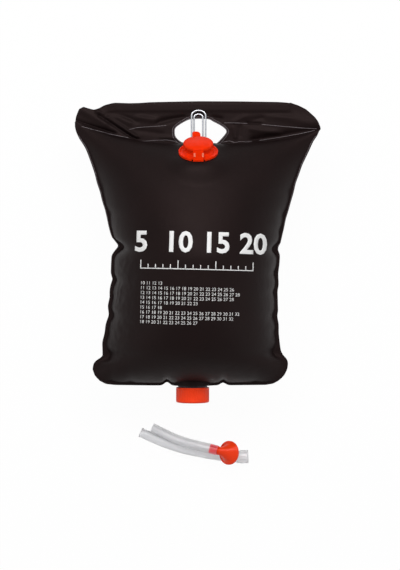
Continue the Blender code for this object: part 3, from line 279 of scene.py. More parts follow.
class BagFilm(PropertyGroup):
    film: FloatProperty(
        name="Film", description="Thickness of one film", default=0.6 * MM, min=0.1 * MM, unit="LENGTH"
    )
    spacing: FloatProperty(
        name="Spacing", description="Spacing of the film's mesh before it is refined", default=4.9 * MM,
        min=2 * MM, unit="LENGTH"
    )
    pressure: FloatProperty(
        name="Pressure", description="Push of the water on the film", default=6.0, min=0.0
    )
    give: FloatProperty(
        name="Give", description="Furthest that the water may move the film", default=5 * MM, unit="LENGTH"
    )
    frames: IntProperty(name="Frames", description="Length of the cloth simulation", default=36, min=1)
    colour: FloatVectorProperty(
        name="Colour", description="Colour of the film", subtype="COLOR", size=4, default=linear("0C0707")
    )
    ink: FloatVectorProperty(
        name="Ink", description="Colour of the printed scale", subtype="COLOR", size=4,
        default=linear("EDEDEC")
    )


class Fittings(PropertyGroup):
    red: FloatVectorProperty(
        name="Red", description="Colour of the filler", subtype="COLOR", size=4,
        default=linear("EC2E02")
    )
    rose_red: FloatVectorProperty(
        name="Rose red", description="Colour of the rose and the outlet cap", subtype="COLOR", size=4,
        default=linear("F94016")
    )
    wire: FloatProperty(
        name="Wire", description="Diameter of the loop's wire", default=2.8 * MM, min=1 * MM, unit="LENGTH"
    )
    cap_ribs: IntProperty(name="Cap ribs", description="Grip ribs round the outlet cap", default=44, min=12)


class Stage(PropertyGroup):
    distance: FloatProperty(
        name="Distance", description="From the camera to the seams' plane", default=2.7, min=1, unit="LENGTH"
    )
    view_width: FloatProperty(
        name="View width", description="Width of the view in the seams' plane", default=0.64, unit="LENGTH"
    )
    room: FloatProperty(
        name="Room light", description="Strength of the light from all sides", default=0.22, min=0
    )
    key_power: FloatProperty(name="Key light", description="Power of the overhead light", default=50, min=0)


# Helpers


def scene_settings():
    return bpy.context.scene.shower_bag_film, bpy.context.scene.shower_bag_fittings


def feed(tree, node, inputs):
    """Gives a node's inputs their values. A value may be the output socket that feeds the input."""
    for name, value in inputs.items():
        if isinstance(value, bpy.types.NodeSocket):
            tree.links.new(value, node.inputs[name])
        else:
            node.inputs[name].default_value = value


def add_node(tree, kind, inputs=None, **settings):
    """Adds a shader node with its settings, values and links."""
    node = tree.nodes.new(kind)
    for name, value in settings.items():
        setattr(node, name, value)
    feed(tree, node, inputs or {})
    return node


def new_material(name):
    material = bpy.data.materials.new(name)
    material.use_nodes = True
    return material, material.node_tree, material.node_tree.nodes["Principled BSDF"]


def add_piece(name, mesh, material, body, slot, *nodes):
    """Links a finished mesh as one piece that rides on a body and stands for CAD nodes."""
    piece = bpy.data.objects.new(name, mesh)
    bpy.context.scene.collection.objects.link(piece)
    mesh.materials.clear()
    mesh.materials.append(material)
    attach(piece, body)
    if nodes:
        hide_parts(*nodes)
    return piece


def dress(node, material):
    """Gives a CAD node that stays in view its material."""
    mesh = NODES[node].data
    mesh.materials.clear()
    mesh.materials.append(material)


def mesh_from(bm, name, sharp=math.radians(40)):
    mesh = bpy.data.meshes.new(name)
    bm.to_mesh(mesh)
    bm.free()
    mesh.shade_smooth()
    mesh.set_sharp_from_angle(angle=sharp)
    return mesh


def evaluated_mesh(piece):
    graph = bpy.context.evaluated_depsgraph_get()
    return bpy.data.meshes.new_from_object(piece.evaluated_get(graph), depsgraph=graph)


def turned(profile, steps, place, closed=True):
    """A profile of (radius, height) turned about Z and put in place."""
    bm = bmesh.new()
    points = [bm.verts.new((radius, 0, height)) for radius, height in profile]
    edges = [bm.edges.new(pair) for pair in zip(points, points[1:])]
    if closed:
        edges.append(bm.edges.new((points[-1], points[0])))
    bmesh.ops.spin(
        bm, geom=points + edges, cent=(0, 0, 0), axis=(0, 0, 1), dvec=(0, 0, 0), angle=math.tau,
        steps=steps, use_merge=True, use_duplicate=False,
    )
    bmesh.ops.remove_doubles(bm, verts=bm.verts, dist=0.001 * MM)
    bmesh.ops.recalc_face_normals(bm, faces=bm.faces)
    bm.transform(place)
    return bm


def filler_place():
    """Frame with its Z along the filler's axis and its Y towards the header, on the film's outer face."""
    turn = Matrix.Rotation(-FILLER_LEAN, 4, "X")
    hinge = Vector(JOINTS["lid_hinge"]["pos_m"])
    return Matrix.Translation(hinge - turn @ Vector((0, HINGE_Y, HINGE_Z))) @ turn


def outlet_place():
    """Frame with its Z along the outlet's axis, out of the bag, and its origin at the seam's edge."""
    return Matrix.Translation((OUTLET.x, EDGE_Y, OUTLET.z)) @ Matrix.Rotation(math.radians(90), 4, "X")


# Materials


def mottled(name, size, detail, colours, roughness=None):
    """A new material whose colour, and roughness if given, goes from one to the other over its spots."""
    material, tree, shader = new_material(name)
    place = add_node(tree, "ShaderNodeTexCoord").outputs["Object"]
    spots = add_node(
        tree, "ShaderNodeTexNoise", {"Vector": place, "Scale": 1 / size, "Detail": detail}
    ).outputs["Fac"]
    tint = add_node(
        tree, "ShaderNodeMix", {"Factor": spots, "A": colours[0], "B": colours[1]}, data_type="RGBA"
    )
    feed(tree, shader, {"Base Color": tint.outputs["Result"]})
    if roughness:
        gloss = add_node(
            tree, "ShaderNodeMapRange", {"Value": spots, "To Min": roughness[0], "To Max": roughness[1]}
        )
        feed(tree, shader, {"Roughness": gloss.outputs["Result"]})
    return material, tree, shader, place


def pvc_film(settings):
    """Calendered black PVC film. Soft sheen, a fine pressed grain and slightly uneven gloss."""
    colours = settings.colour, linear("140C0C")
    material, tree, shader, place = mottled("pvc_film_black", 45 * MM, 4.0, colours, (0.44, 0.58))
    grain = add_node(tree, "ShaderNodeTexVoronoi", {"Vector": place, "Scale": 1 / (1.1 * MM)})
    crinkle = add_node(
        tree, "ShaderNodeTexNoise", {"Vector": place, "Scale": 1 / (16 * MM), "Detail": 5.0, "Roughness": 0.6}
    )
    fine = add_node(
        tree, "ShaderNodeBump", {"Height": grain.outputs["Distance"], "Strength": 0.10, "Distance": 0.25 * MM}
    )
    soft = add_node(
        tree, "ShaderNodeBump",
        {"Height": crinkle.outputs["Fac"], "Strength": 0.35, "Distance": 1.2 * MM,
         "Normal": fine.outputs["Normal"]}
    )
    feed(tree, shader, {
        "Normal": soft.outputs["Normal"],
        "IOR": 1.53,
        "Specular IOR Level": 0.085,
        "Specular Tint": linear("FFDFDC"),
    })
    return material


def moulded_plastic(name, colour, roughness, grain_mm=0.9, shine=0.2):
    """Injection-moulded polyethylene or ABS. Even colour, faint flow marks and a satin gloss."""
    darker = [share * 0.82 for share in colour[:3]] + [1.0]
    gloss = roughness * 0.85, roughness * 1.2
    material, tree, shader, place = mottled(name, 9 * MM, 3.0, (darker, colour), gloss)
    skin = add_node(
        tree, "ShaderNodeTexNoise", {"Vector": place, "Scale": 1 / (grain_mm * MM), "Detail": 2.0}
    )
    bump = add_node(
        tree, "ShaderNodeBump", {"Height": skin.outputs["Fac"], "Strength": 0.12, "Distance": 0.08 * MM}
    )
    sheen = [0.3 + 0.7 * share / max(colour[:3]) for share in colour[:3]]
    feed(tree, shader, {
        "Normal": bump.outputs["Normal"],
        "IOR": 1.52,
        "Specular IOR Level": shine,
        "Specular Tint": sheen + [1.0],
    })
    return material


def plated_wire():
    """Zinc-plated spring steel. Bright, with small dull patches."""
    colours = linear("8F9197"), linear("D4D5D9")
    material, tree, shader, _ = mottled("steel_wire_zinc_plated", 3 * MM, 3.0, colours, (0.14, 0.3))
    feed(tree, shader, {"Metallic": 1.0})
    return material


def welded_edge():
    """Film that the welding press has melted smooth, glossier than the film. Its lighter colour is a painted
    highlight along the beads.
    """
    return mottled("pvc_weld_painted_highlight", 6 * MM, 3.0, (linear("352B2F"), linear("6E6468")), (0.22, 0.4))[0]


def clear_hose(name, painted_stem=None):
    """Extruded soft clear PVC. A milky grey tube, painted red over its end where the stem would show through
    it.
    """
    material, tree, shader, place = mottled(name, 14 * MM, 4.0, (linear("F4F4F6"), linear("FDFDFE")))
    if painted_stem:
        end, along = painted_stem
        inside = add_node(tree, "ShaderNodeVectorMath", {0: place, 1: end}, operation="SUBTRACT")
        depth = add_node(
            tree, "ShaderNodeVectorMath", {0: inside.outputs["Vector"], 1: along}, operation="DOT_PRODUCT"
        )
        # Painted light: the colour turns pink-red over the stem's reach, standing in for the stem seen
        # through the hose.
        stem_show_share = add_node(tree, "ShaderNodeMapRange", {
            "Value": depth.outputs["Value"],
            "From Min": -STEM_REACH - PAINTED_STEM_FADE / 2,
            "From Max": -STEM_REACH + PAINTED_STEM_FADE / 2,
        })
        milky = shader.inputs["Base Color"].links[0].from_socket
        tint = add_node(
            tree, "ShaderNodeMix",
            {"Factor": stem_show_share.outputs["Result"], "A": milky, "B": linear("FF7C86")}, data_type="RGBA"
        )
        feed(tree, shader, {"Base Color": tint.outputs["Result"]})
    feed(tree, shader, {"Roughness": 0.3, "IOR": 1.53, "Transmission Weight": 0.78})
    return material


def screen_ink(settings):
    """Screen-printed vinyl ink. Flat white with a slightly open, rubbed grain."""
    material, tree, shader, _ = mottled("screen_print_white", 2.5 * MM, 4.0, (linear("D9D8D8"), settings.ink))
    feed(tree, shader, {"Roughness": 0.55})
    return material


# Shape of the filled bag


def table(rows):
    """Rows typed in millimetres as an array in metres, in rising order of their first column."""
    array = np.array(rows) * MM
    return array if array[0, 0] < array[-1, 0] else array[::-1]


BODY_EDGES, HEADER_LEFT, HEADER_RIGHT = table(BODY_EDGES_MM), table(HEADER_LEFT_MM), table(HEADER_RIGHT_MM)
WELD_LINE, TOP_LINE, BOTTOM_LINE = table(WELD_LINE_MM), table(TOP_LINE_MM), table(BOTTOM_LINE_MM)


def smooth_edge(y, side, spread=16 * MM):
    """X of a side edge with its notches and scallops evened out."""
    steps = np.linspace(-2, 2, 17)
    weights = np.exp(-steps ** 2)
    sampled = np.interp(np.asarray(y)[..., None] + steps * spread, BODY_EDGES[:, 0], BODY_EDGES[:, side])
    return sampled @ weights / weights.sum()


def patch(s, t, left, right, bottom, top):
    """Points of the sheet that four edge lines span, at its shares across and up."""
    s, t = s[..., None], t[..., None]
    corners = (1 - s) * (1 - t) * left[0, 0] + s * (1 - t) * right[0, 0]
    corners += (1 - s) * t * left[-1, 0] + s * t * right[-1, 0]
    return (1 - s) * left + s * right + (1 - t) * bottom + t * top - corners


def line_up(rows, share):
    """Point of a side edge, given as rows of Y and X, at a share of its height."""
    y = rows[0, 0] + share * (rows[-1, 0] - rows[0, 0])
    return np.stack([np.interp(y, rows[:, 0], rows[:, 1]), y], axis=-1)


def line_across(rows, share):
    x = rows[0, 0] + share * (rows[-1, 0] - rows[0, 0])
    return np.stack([x, np.interp(x, rows[:, 0], rows[:, 1])], axis=-1)


def foot_notch(x):
    """How far the bottom seam is drawn up by its notches."""
    return sum(
        deep * MM * np.exp(-(((x - at * MM) / (wide * MM)) ** 2)) for at, deep, wide in FOOT_NOTCHES_MM
    )


def arc_half_angle(share):
    """Half angle of an arc whose chord is this share of its length."""
    low, high = np.zeros_like(share), np.full_like(share, math.pi)
    for _ in range(40):
        middle = (low + high) / 2
        wide = np.sin(middle) > share * middle
        low, high = np.where(wide, middle, low), np.where(wide, high, middle)
    return np.maximum(low, 1e-6)


def lesser(*rises):
    """The least of several rises, with a soft turn from one to the next."""
    total = sum(np.maximum(rise, 1e-6) ** -END_BLEND for rise in rises)
    return total ** (-1 / END_BLEND)


def film_shares(spacing):
    """Shares of the film's rows up the water space and up the header, and of its columns."""
    y = EDGE_Y + (WELD_Y - EDGE_Y) * (1 - np.cos(np.linspace(0, math.pi, 4000))) / 2
    rise = lesser(
        np.sqrt(2 * END_RADIUS * np.maximum(WELD_Y - y, 0)),
        np.sqrt(2 * END_RADIUS * np.maximum(y - SEAM_Y, 0)),
        np.full_like(y, MIDDLE_RISE),
    )
    y, rise = y[y >= SEAM_Y], rise[y >= SEAM_Y]
    along = np.concatenate([[0], np.cumsum(np.hypot(np.diff(y), np.diff(rise)))])
    body = np.interp(np.linspace(0, along[-1], round(along[-1] / spacing) + 1), along, y)
    body = np.concatenate([np.linspace(EDGE_Y, SEAM_Y, 4)[:-1], body])
    header = np.linspace(0, 1, round(HEADER_LENGTH / HEADER_SPACING) + 1)[1:]
    count = round(FLAT_WIDTH / spacing / 2)
    inner = [(step / count, 0.0) for step in range(-count, count + 1)]
    outer = [SEAM_WIDTH * share for share in (0.35, 0.7, 1.0)]
    columns = [(-1, out) for out in reversed(outer)] + inner + [(1, out) for out in outer]
    return (body - EDGE_Y) / (WELD_Y - EDGE_Y), header, np.array(columns)


def edge_up(rows, side, body):
    """Points of a side edge, without its notches, at the shares up the water space."""
    y = rows[0, 0] + body * (rows[-1, 0] - rows[0, 0])
    return np.stack([smooth_edge(y, side), y], axis=-1)


def film_shape(spacing):
    """The inner face of a film, with Z as its rise above the seams' plane, and what holds each point."""
    body, header, columns = film_shares(spacing)
    place, margin = columns[:, 0][None, :], columns[:, 1][None, :]
    left_rows = BODY_EDGES[:, [0, 1]]
    right_rows = BODY_EDGES[BODY_EDGES[:, 0] <= HEADER_RIGHT[0, 0] + MM][:, [0, 2]]
    left, right = edge_up(left_rows, 1, body), edge_up(right_rows, 2, body)
    width = (right[:, 0] - left[:, 0])[:, None]
    half = width / 2 - SEAM_WIDTH
    full = half * np.tan(arc_half_angle(np.minimum(2 * half / FLAT_WIDTH, 1)) / 2)
    middle_y = (EDGE_Y + body * (WELD_Y - EDGE_Y))[:, None]
    rise = lesser(
        full, np.sqrt(2 * END_RADIUS * np.maximum(WELD_Y - middle_y, 0)),
        np.sqrt(2 * END_RADIUS * np.maximum(middle_y - SEAM_Y, 0)),
    )
    angle = 2 * np.arctan(rise / half)
    inward = SEAM_WIDTH - margin + half * (1 - np.abs(np.sin(place * angle) / np.sin(angle)))
    share = np.where(place < 0, inward / width, 1 - inward / width)
    up = body[:, None] + np.zeros_like(share)
    flat = patch(
        share, up, left[:, None, :], right[:, None, :], line_across(BOTTOM_LINE, share),
        line_across(WELD_LINE, share),
    )
    for side, edge, rows in ((1, left, left_rows), (2, right, right_rows)):
        scallop = line_up(rows, body)[:, 0] - edge[:, 0]
        away = share * width if side == 1 else (1 - share) * width
        flat[..., 0] += scallop[:, None] * np.exp(-((away / SCALLOP_REACH) ** 2))
    above = flat[..., 1] - np.interp(flat[..., 0], *BOTTOM_LINE.T)
    flat[..., 1] += foot_notch(flat[..., 0]) * np.exp(-((above / NOTCH_REACH) ** 2))
    x, y = flat[..., 0], flat[..., 1]
    local = lesser(
        full + np.zeros_like(x),
        np.sqrt(2 * END_RADIUS * np.maximum(np.interp(x, *WELD_LINE.T) - y, 0)),
        np.sqrt(2 * END_RADIUS * np.maximum(above - SEAM_WIDTH, 0)),
    )
    radius = (half ** 2 + local ** 2) / (2 * local)
    bend = 2 * np.arctan(local / half)
    z = np.maximum(radius * (np.cos(place * bend) - np.cos(bend)), 0)
    z = np.maximum(z, wrap_rise(x, y))
    water = np.stack([x, y, z], axis=2)
    water = pucker(water, place)
    top_share = share[-1] + np.zeros((len(header), 1))
    up = header[:, None] + np.zeros_like(top_share)
    band = patch(
        top_share, up, line_up(HEADER_LEFT, header)[:, None, :], line_up(HEADER_RIGHT, header)[:, None, :],
        line_across(WELD_LINE, top_share), line_across(TOP_LINE, top_share),
    )
    band = np.concatenate([band, sleeve_rise(band[..., 0], band[..., 1])[..., None]], axis=2)
    points = np.concatenate([water, band])
    held = np.zeros(points.shape[:2])
    held[(middle_y[:, 0] <= SEAM_Y + 0.1 * MM).nonzero()[0]] = 1
    held[len(body) - 1:] = 1
    held[:, abs(place[0]) >= 0.999] = 1
    held[wrap_rise(points[..., 0], points[..., 1]) > points[..., 2] - 0.1 * MM] = 1
    return points, held, columns[:, 0]


def sleeve_rise(x, y):
    """How far the film stands off the seams' plane in the hem that holds the batten."""
    low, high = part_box("header_batten")
    lift = (high.z - low.z) / 2 + GAP / 2
    up = np.clip((y - low.y + 3.3 * MM) / (3 * MM), 0, 1)
    down = np.clip((high.y + 3.3 * MM - y) / (3 * MM), 0, 1)
    ends = np.clip((high.x + 4 * MM - abs(x)) / (3 * MM), 0, 1)
    return lift * np.minimum(np.minimum(up, down), ends)


def wrap_rise(x, y):
    """Rise of the film where it lies over the spout in the bottom seam."""
    away = abs(x - OUTLET.x)
    over = np.sqrt(np.maximum(WRAP_RADIUS ** 2 - away ** 2, 0))
    slope = np.maximum(WRAP_RADIUS / math.cos(BOAT_SLOPE) - away * math.tan(BOAT_SLOPE), 0)
    rise = np.where(away < WRAP_RADIUS * math.sin(BOAT_SLOPE), over, slope)
    return np.where(y > SEAM_Y + WRAP_RADIUS ** 2 / (2 * END_RADIUS), 0, rise)


def pucker(points, place):
    """Draws the film in along the short folds that start where its seams are gathered."""
    along, up = np.gradient(points, axis=1), np.gradient(points, axis=0)
    normal = np.cross(along, up)
    normal /= np.maximum(np.linalg.norm(normal, axis=2), 1e-9)[..., None]
    inward = (1 - abs(place)) * FLAT_WIDTH / 2
    depth = np.zeros(points.shape[:2])
    for side, y, deep, reach, wide in PUCKERS_MM:
        near = np.exp(-(((points[..., 1] - y * MM) / (wide * MM)) ** 2)) * (np.sign(place) == side)
        depth += deep * MM * near * np.exp(-inward / (reach * MM)) * np.clip(inward / (5 * MM), 0, 1)
    for x, deep, reach, wide in FOOT_PUCKERS_MM:
        rise = points[..., 1] - SEAM_Y
        near = np.exp(-(((points[..., 0] - x * MM) / (wide * MM)) ** 2))
        depth += deep * MM * near * np.exp(-abs(rise) / (reach * MM)) * (rise > 0)
    moved = points - depth[..., None] * normal
    moved[..., 2] = np.maximum(moved[..., 2], 0)
    return np.where(depth[..., None] > 0, moved, points)


def header_relief(x, y):
    """Height of the header's folds, which both films share, above the seams' plane."""
    relief = np.zeros_like(x)
    for (ax, ay), (bx, by), lift, wide in HEADER_FOLDS_MM:
        a, b = np.array((ax, ay)) * MM, np.array((bx, by)) * MM
        run = b - a
        share = np.clip(((x - a[0]) * run[0] + (y - a[1]) * run[1]) / (run @ run), 0, 1)
        away = np.hypot(x - a[0] - share * run[0], y - a[1] - share * run[1])
        relief += lift * MM * np.exp(-((away / (wide * MM)) ** 2))
    above = y - np.interp(x, *WELD_LINE.T)
    fade = np.clip(above / (5 * MM), 0, 1)
    fade = fade * np.clip((abs(x - LOOP_X) - 15 * MM) / (8 * MM), 0, 1)
    low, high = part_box("header_batten")
    beside = np.clip((abs(x) - high.x - 3 * MM) / (12 * MM), 0, 1)
    below = np.clip((low.y - 4 * MM - y) / (9 * MM), 0, 1)
    fade = fade * np.maximum(beside, below)
    return relief * fade * fade * (3 - 2 * fade)


def seat_film(points, place, thickness):
    """Draws the film to the flat seat under the filler. Returns how strongly each point is held there."""
    outward = np.array(place.to_3x3())[:, 2]
    seat = np.array(place.translation) - outward * thickness - np.array((0, 0, SEAM_LEVEL + GAP / 2))
    height = (points - seat) @ outward
    away = np.linalg.norm(points - seat - height[..., None] * outward, axis=2)
    share = np.clip((FLANGE_RADIUS + SEAT_FADE - away) / SEAT_FADE, 0, 1)
    below = points[..., 1] < np.interp(points[..., 0], *WELD_LINE.T) - 0.5 * MM
    near = below & (abs(height) < FLANGE_RADIUS)
    share = np.where(near, share * share * (3 - 2 * share), 0)
    points -= (height * share)[..., None] * outward
    return share


def flat_cut(points, place):
    """Where each point of the film lay in the flat sheet. The side seams are gathered a little."""
    run = np.cumsum(np.linalg.norm(np.diff(points, axis=0), axis=2), axis=0)
    run = np.concatenate([np.zeros((1, points.shape[1])), run])
    across = np.cumsum(np.linalg.norm(np.diff(points, axis=1), axis=2), axis=1)
    across = np.concatenate([np.zeros((points.shape[0], 1)), across], axis=1)
    across -= across[:, -1:] / 2
    side = abs(place) ** 4
    y = run[:, points.shape[1] // 2][:, None] * (1 - side) + run * GATHER * side
    return np.stack([across * SLACK, y, np.zeros_like(y)], axis=2)


def simulate(piece, held, flat, settings):
    """Lets the film settle under the water's push, with its flat cut as its rest shape."""
    group = piece.vertex_groups.new(name="held")
    for index, weight in enumerate(held):
        if weight > 0:
            group.add([index], float(weight), "REPLACE")
    piece.shape_key_add(name="Basis")
    key = piece.shape_key_add(name="flat")
    key.data.foreach_set("co", np.asarray(flat, np.float32).ravel())
    key.value = 0.0
    cloth = piece.modifiers.new("water", "CLOTH").settings
    cloth.quality = 8
    cloth.mass = 0.12
    cloth.tension_stiffness = cloth.compression_stiffness = 30
    cloth.shear_stiffness = 12
    cloth.bending_stiffness = 1.5
    cloth.tension_damping = cloth.compression_damping = cloth.shear_damping = 12
    cloth.bending_damping = 0.5
    cloth.air_damping = 4
    cloth.use_pressure = True
    cloth.uniform_pressure_force = settings.pressure
    cloth.vertex_group_mass = "held"
    cloth.rest_shape_key = key
    cloth.effector_weights.gravity = 0
    piece.modifiers["water"].collision_settings.use_collision = False
    piece.modifiers["water"].point_cache.frame_end = settings.frames
    for step in range(1, settings.frames + 1):
        bpy.context.scene.frame_set(step)
    settled = evaluated_mesh(piece)
    co = np.zeros(len(settled.vertices) * 3)
    settled.vertices.foreach_get("co", co)
    bpy.data.meshes.remove(settled)
    piece.modifiers.clear()
    piece.shape_key_clear()
    bpy.context.scene.frame_set(1)
    return co.reshape(-1, 3)


def hole_outline(grow=0.0):
    """The hand hole's outline, rounded, as points of the seams' plane. It may stand a little outside."""
    corners = [
        Vector((HOLE_MIDDLE.x + a * (HOLE_WIDTH / 2 + grow), HOLE_MIDDLE.y + b * (HOLE_HEIGHT / 2 + grow)))
        for a, b in HOLE_SHARES
    ]
    count = len(corners)
    points = []
    for place in range(count):
        p0, p1, p2, p3 = (corners[(place + shift) % count] for shift in (-1, 0, 1, 2))
        for step in range(6):
            t = step / 6
            bend = (2 * p0 - 5 * p1 + 4 * p2 - p3) * t * t
            twist = (3 * p1 - p0 - 3 * p2 + p3) * t * t * t
            points.append((2 * p1 + (p2 - p0) * t + bend + twist) / 2)
    return points


def prism(outline, low, high):
    """A flat outline of points, pushed along Z from one height to another."""
    bm = bmesh.new()
    face = bm.faces.new([bm.verts.new((point[0], point[1], low)) for point in outline])
    pushed = bmesh.ops.extrude_face_region(bm, geom=[face])["geom"]
    moved = [item for item in pushed if isinstance(item, bmesh.types.BMVert)]
    bmesh.ops.translate(bm, verts=moved, vec=(0, 0, high - low))
    bmesh.ops.recalc_face_normals(bm, faces=bm.faces)
    return bm


def build_film(side, settings, material):
    """One film: its shape from the outline, settled under water and cut for its openings."""
    points, held, place = film_shape(settings.spacing)
    if side > 0:
        held = np.maximum(held, seat_film(points, filler_place(), settings.film))
    height, width = held.shape
    bm = bmesh.new()
    bmesh.ops.create_grid(bm, x_segments=width - 1, y_segments=height - 1, size=1)
    order = np.array([
        (round((vert.co.y + 1) / 2 * (height - 1)), round((vert.co.x + 1) / 2 * (width - 1)))
        for vert in bm.verts
    ])
    up, across = order.T
    base = points[up, across]
    for vert, co in zip(bm.verts, base):
        vert.co = co
    name = "front_film" if side > 0 else "back_film"
    sheet = bpy.data.objects.new(name + "_sheet", mesh_from(bm, name + "_sheet"))
    bpy.context.scene.collection.objects.link(sheet)
    moved = simulate(sheet, held[up, across], flat_cut(points, place)[up, across], settings) - base
    size = np.linalg.norm(moved, axis=1)[:, None]
    moved *= np.tanh(size / settings.give) * settings.give / np.maximum(size, 1e-9)
    sheet.data.vertices.foreach_set("co", (base + moved).astype(np.float32).ravel())
    refine = sheet.modifiers.new("refine", "SUBSURF")
    refine.levels = refine.render_levels = 1
    refine.boundary_smooth = "PRESERVE_CORNERS"
    mesh = evaluated_mesh(sheet)
    bpy.data.objects.remove(sheet)
    co = np.zeros(len(mesh.vertices) * 3)
    mesh.vertices.foreach_get("co", co)
    co = co.reshape(-1, 3)
    crumple(co)
    level = SEAM_LEVEL + side * (co[:, 2] + GAP / 2) + header_relief(co[:, 0], co[:, 1])
    co[:, 2] = np.maximum(level, settings.film + 0.05 * MM)
    mesh.vertices.foreach_set("co", co.astype(np.float32).ravel())
    if side < 0:
        mesh.flip_normals()
    sheet = bpy.data.objects.new(name, mesh)
    wall = sheet.modifiers.new("film", "SOLIDIFY")
    wall.thickness = settings.film
    wall.offset = 1
    hole = mesh_from(prism(hole_outline(), SEAM_LEVEL - 12 * MM, SEAM_LEVEL + 12 * MM), "hole")
    cutters = [hole]
    if side > 0:
        bm = bmesh.new()
        radius = NECK_BORE + 1 * MM
        bmesh.ops.create_cone(
            bm, cap_ends=True, segments=96, radius1=radius, radius2=radius, depth=20 * MM,
            matrix=filler_place(),
        )
        cutters.append(mesh_from(bm, "filler_hole"))
    mesh = carved(sheet, "DIFFERENCE", cutters)
    mesh.name = name
    face = "front" if side > 0 else "back"
    nodes = (face + "_panel", "header_" + face, "hole_patch_" + face)
    return add_piece(name, mesh, material, "bag", "black_pvc_film", *nodes)


def crumple(co):
    """Fine soft creases near the left side seam, below the waist, and a few near the right one."""
    for index, (x, y, z) in enumerate(co):
        if not -0.185 < y < 0.0 or z < 3 * MM:
            continue
        left, right = np.interp(y, BODY_EDGES[:, 0], BODY_EDGES[:, 1]), np.interp(y, *BODY_EDGES[:, [0, 2]].T)
        near = max(math.exp(-((x - left) / (38 * MM)) ** 2), 0.45 * math.exp(-((x - right) / (26 * MM)) ** 2))
        if near > 0.02:
            spot = Vector((x / (20 * MM), y / (11 * MM), z / (20 * MM)))
            fold = 1 - abs(noise.noise(spot)) * 2.2
            fine = noise.noise(spot * 2.7)
            ends = min(1, (y + 0.185) / 0.03, -y / 0.02)
            co[index, 2] += (fold * 1.7 + fine * 0.8 - 0.8) * MM * near * ends


def carved(sheet, operation, cutters):
    """The mesh of a piece after its modifiers and an exact Boolean with each cutter's mesh."""
    bpy.context.scene.collection.objects.link(sheet)
    helpers = []
    for mesh in cutters:
        helper = bpy.data.objects.new(mesh.name, mesh)
        bpy.context.scene.collection.objects.link(helper)
        helpers.append(helper)
        modifier = sheet.modifiers.new(mesh.name, "BOOLEAN")
        modifier.operation = operation
        modifier.solver = "EXACT"
        modifier.object = helper
    result = evaluated_mesh(sheet)
    for helper in [sheet, *helpers]:
        bpy.data.objects.remove(helper)
    return result


def swept(name, points, radius, closed=False, resolution=4, shares=None):
    """A round wire or tube along a line of points."""
    curve = bpy.data.curves.new(name, "CURVE")
    curve.dimensions = "3D"
    curve.bevel_depth = radius
    curve.bevel_resolution = resolution
    curve.use_fill_caps = not closed and shares is None
    spline = curve.splines.new("POLY")
    spline.points.add(len(points) - 1)
    for place, point in enumerate(points):
        spline.points[place].co = (*point, 1)
        spline.points[place].radius = 1 if shares is None else shares[place]
    spline.use_cyclic_u = closed
    guide = bpy.data.objects.new(name, curve)
    mesh = bpy.data.meshes.new_from_object(guide)
    bpy.data.objects.remove(guide)
    bm = bmesh.new()
    bm.from_mesh(mesh)
    bmesh.ops.remove_doubles(bm, verts=bm.verts, dist=0.001 * MM)
    bmesh.ops.recalc_face_normals(bm, faces=bm.faces)
    bpy.data.meshes.remove(mesh)
    return mesh_from(bm, name)


def pushed(outline, axis, low, high):
    """A flat outline pushed along X, drawn as (Y, Z), or along Z, drawn as (X, Y), from low to high."""
    bm = prism(outline, low, high)
    if axis == "X":
        bm.transform(Matrix(((0, 0, 1, 0), (1, 0, 0, 0), (0, 1, 0, 0), (0, 0, 0, 1))))
    return bm


def moulded(name, bm, steps, place, width):
    """A moulding: its shell with each step's shape joined to it or cut from it, and its edges rounded."""
    sheet = bpy.data.objects.new(name, mesh_from(bm, name))
    for operation, shape in steps:
        sheet = bpy.data.objects.new(name, carved(sheet, operation, [mesh_from(shape, operation.lower())]))
    edge = sheet.modifiers.new("edges", "BEVEL")
    edge.width = width
    edge.segments = 3
    edge.limit_method = "ANGLE"
    edge.angle_limit = math.radians(30)
    mesh = carved(sheet, "DIFFERENCE", [])
    mesh.name = name
    mesh.transform(place)
    mesh.shade_smooth()
    return mesh


def surface_of(film):
    return BVHTree.FromPolygons([v.co for v in film.data.vertices], [p.vertices for p in film.data.polygons])


def laid_on(surface, point, lift=0.0):
    """The point of a surface that is met from in front, or the nearest one past its edge, lifted a little."""
    spot, normal, _, _ = surface.ray_cast(Vector((point[0], point[1], 0.5)), Vector((0, 0, -1)))
    if spot is None:
        spot, normal, _, _ = surface.find_nearest(Vector((point[0], point[1], SEAM_LEVEL)))
    return spot + normal * lift


def even_line(corners, step):
    """Points at an even step along a line of corners given in millimetres."""
    line = np.array(corners, float) * MM
    along = np.concatenate([[0], np.cumsum(np.hypot(*np.diff(line, axis=0).T))])
    wanted = np.linspace(0, along[-1], round(along[-1] / step) + 1)
    return np.stack([np.interp(wanted, along, line[:, axis]) for axis in (0, 1)], axis=1)


# Operators, one for each piece or group of like pieces


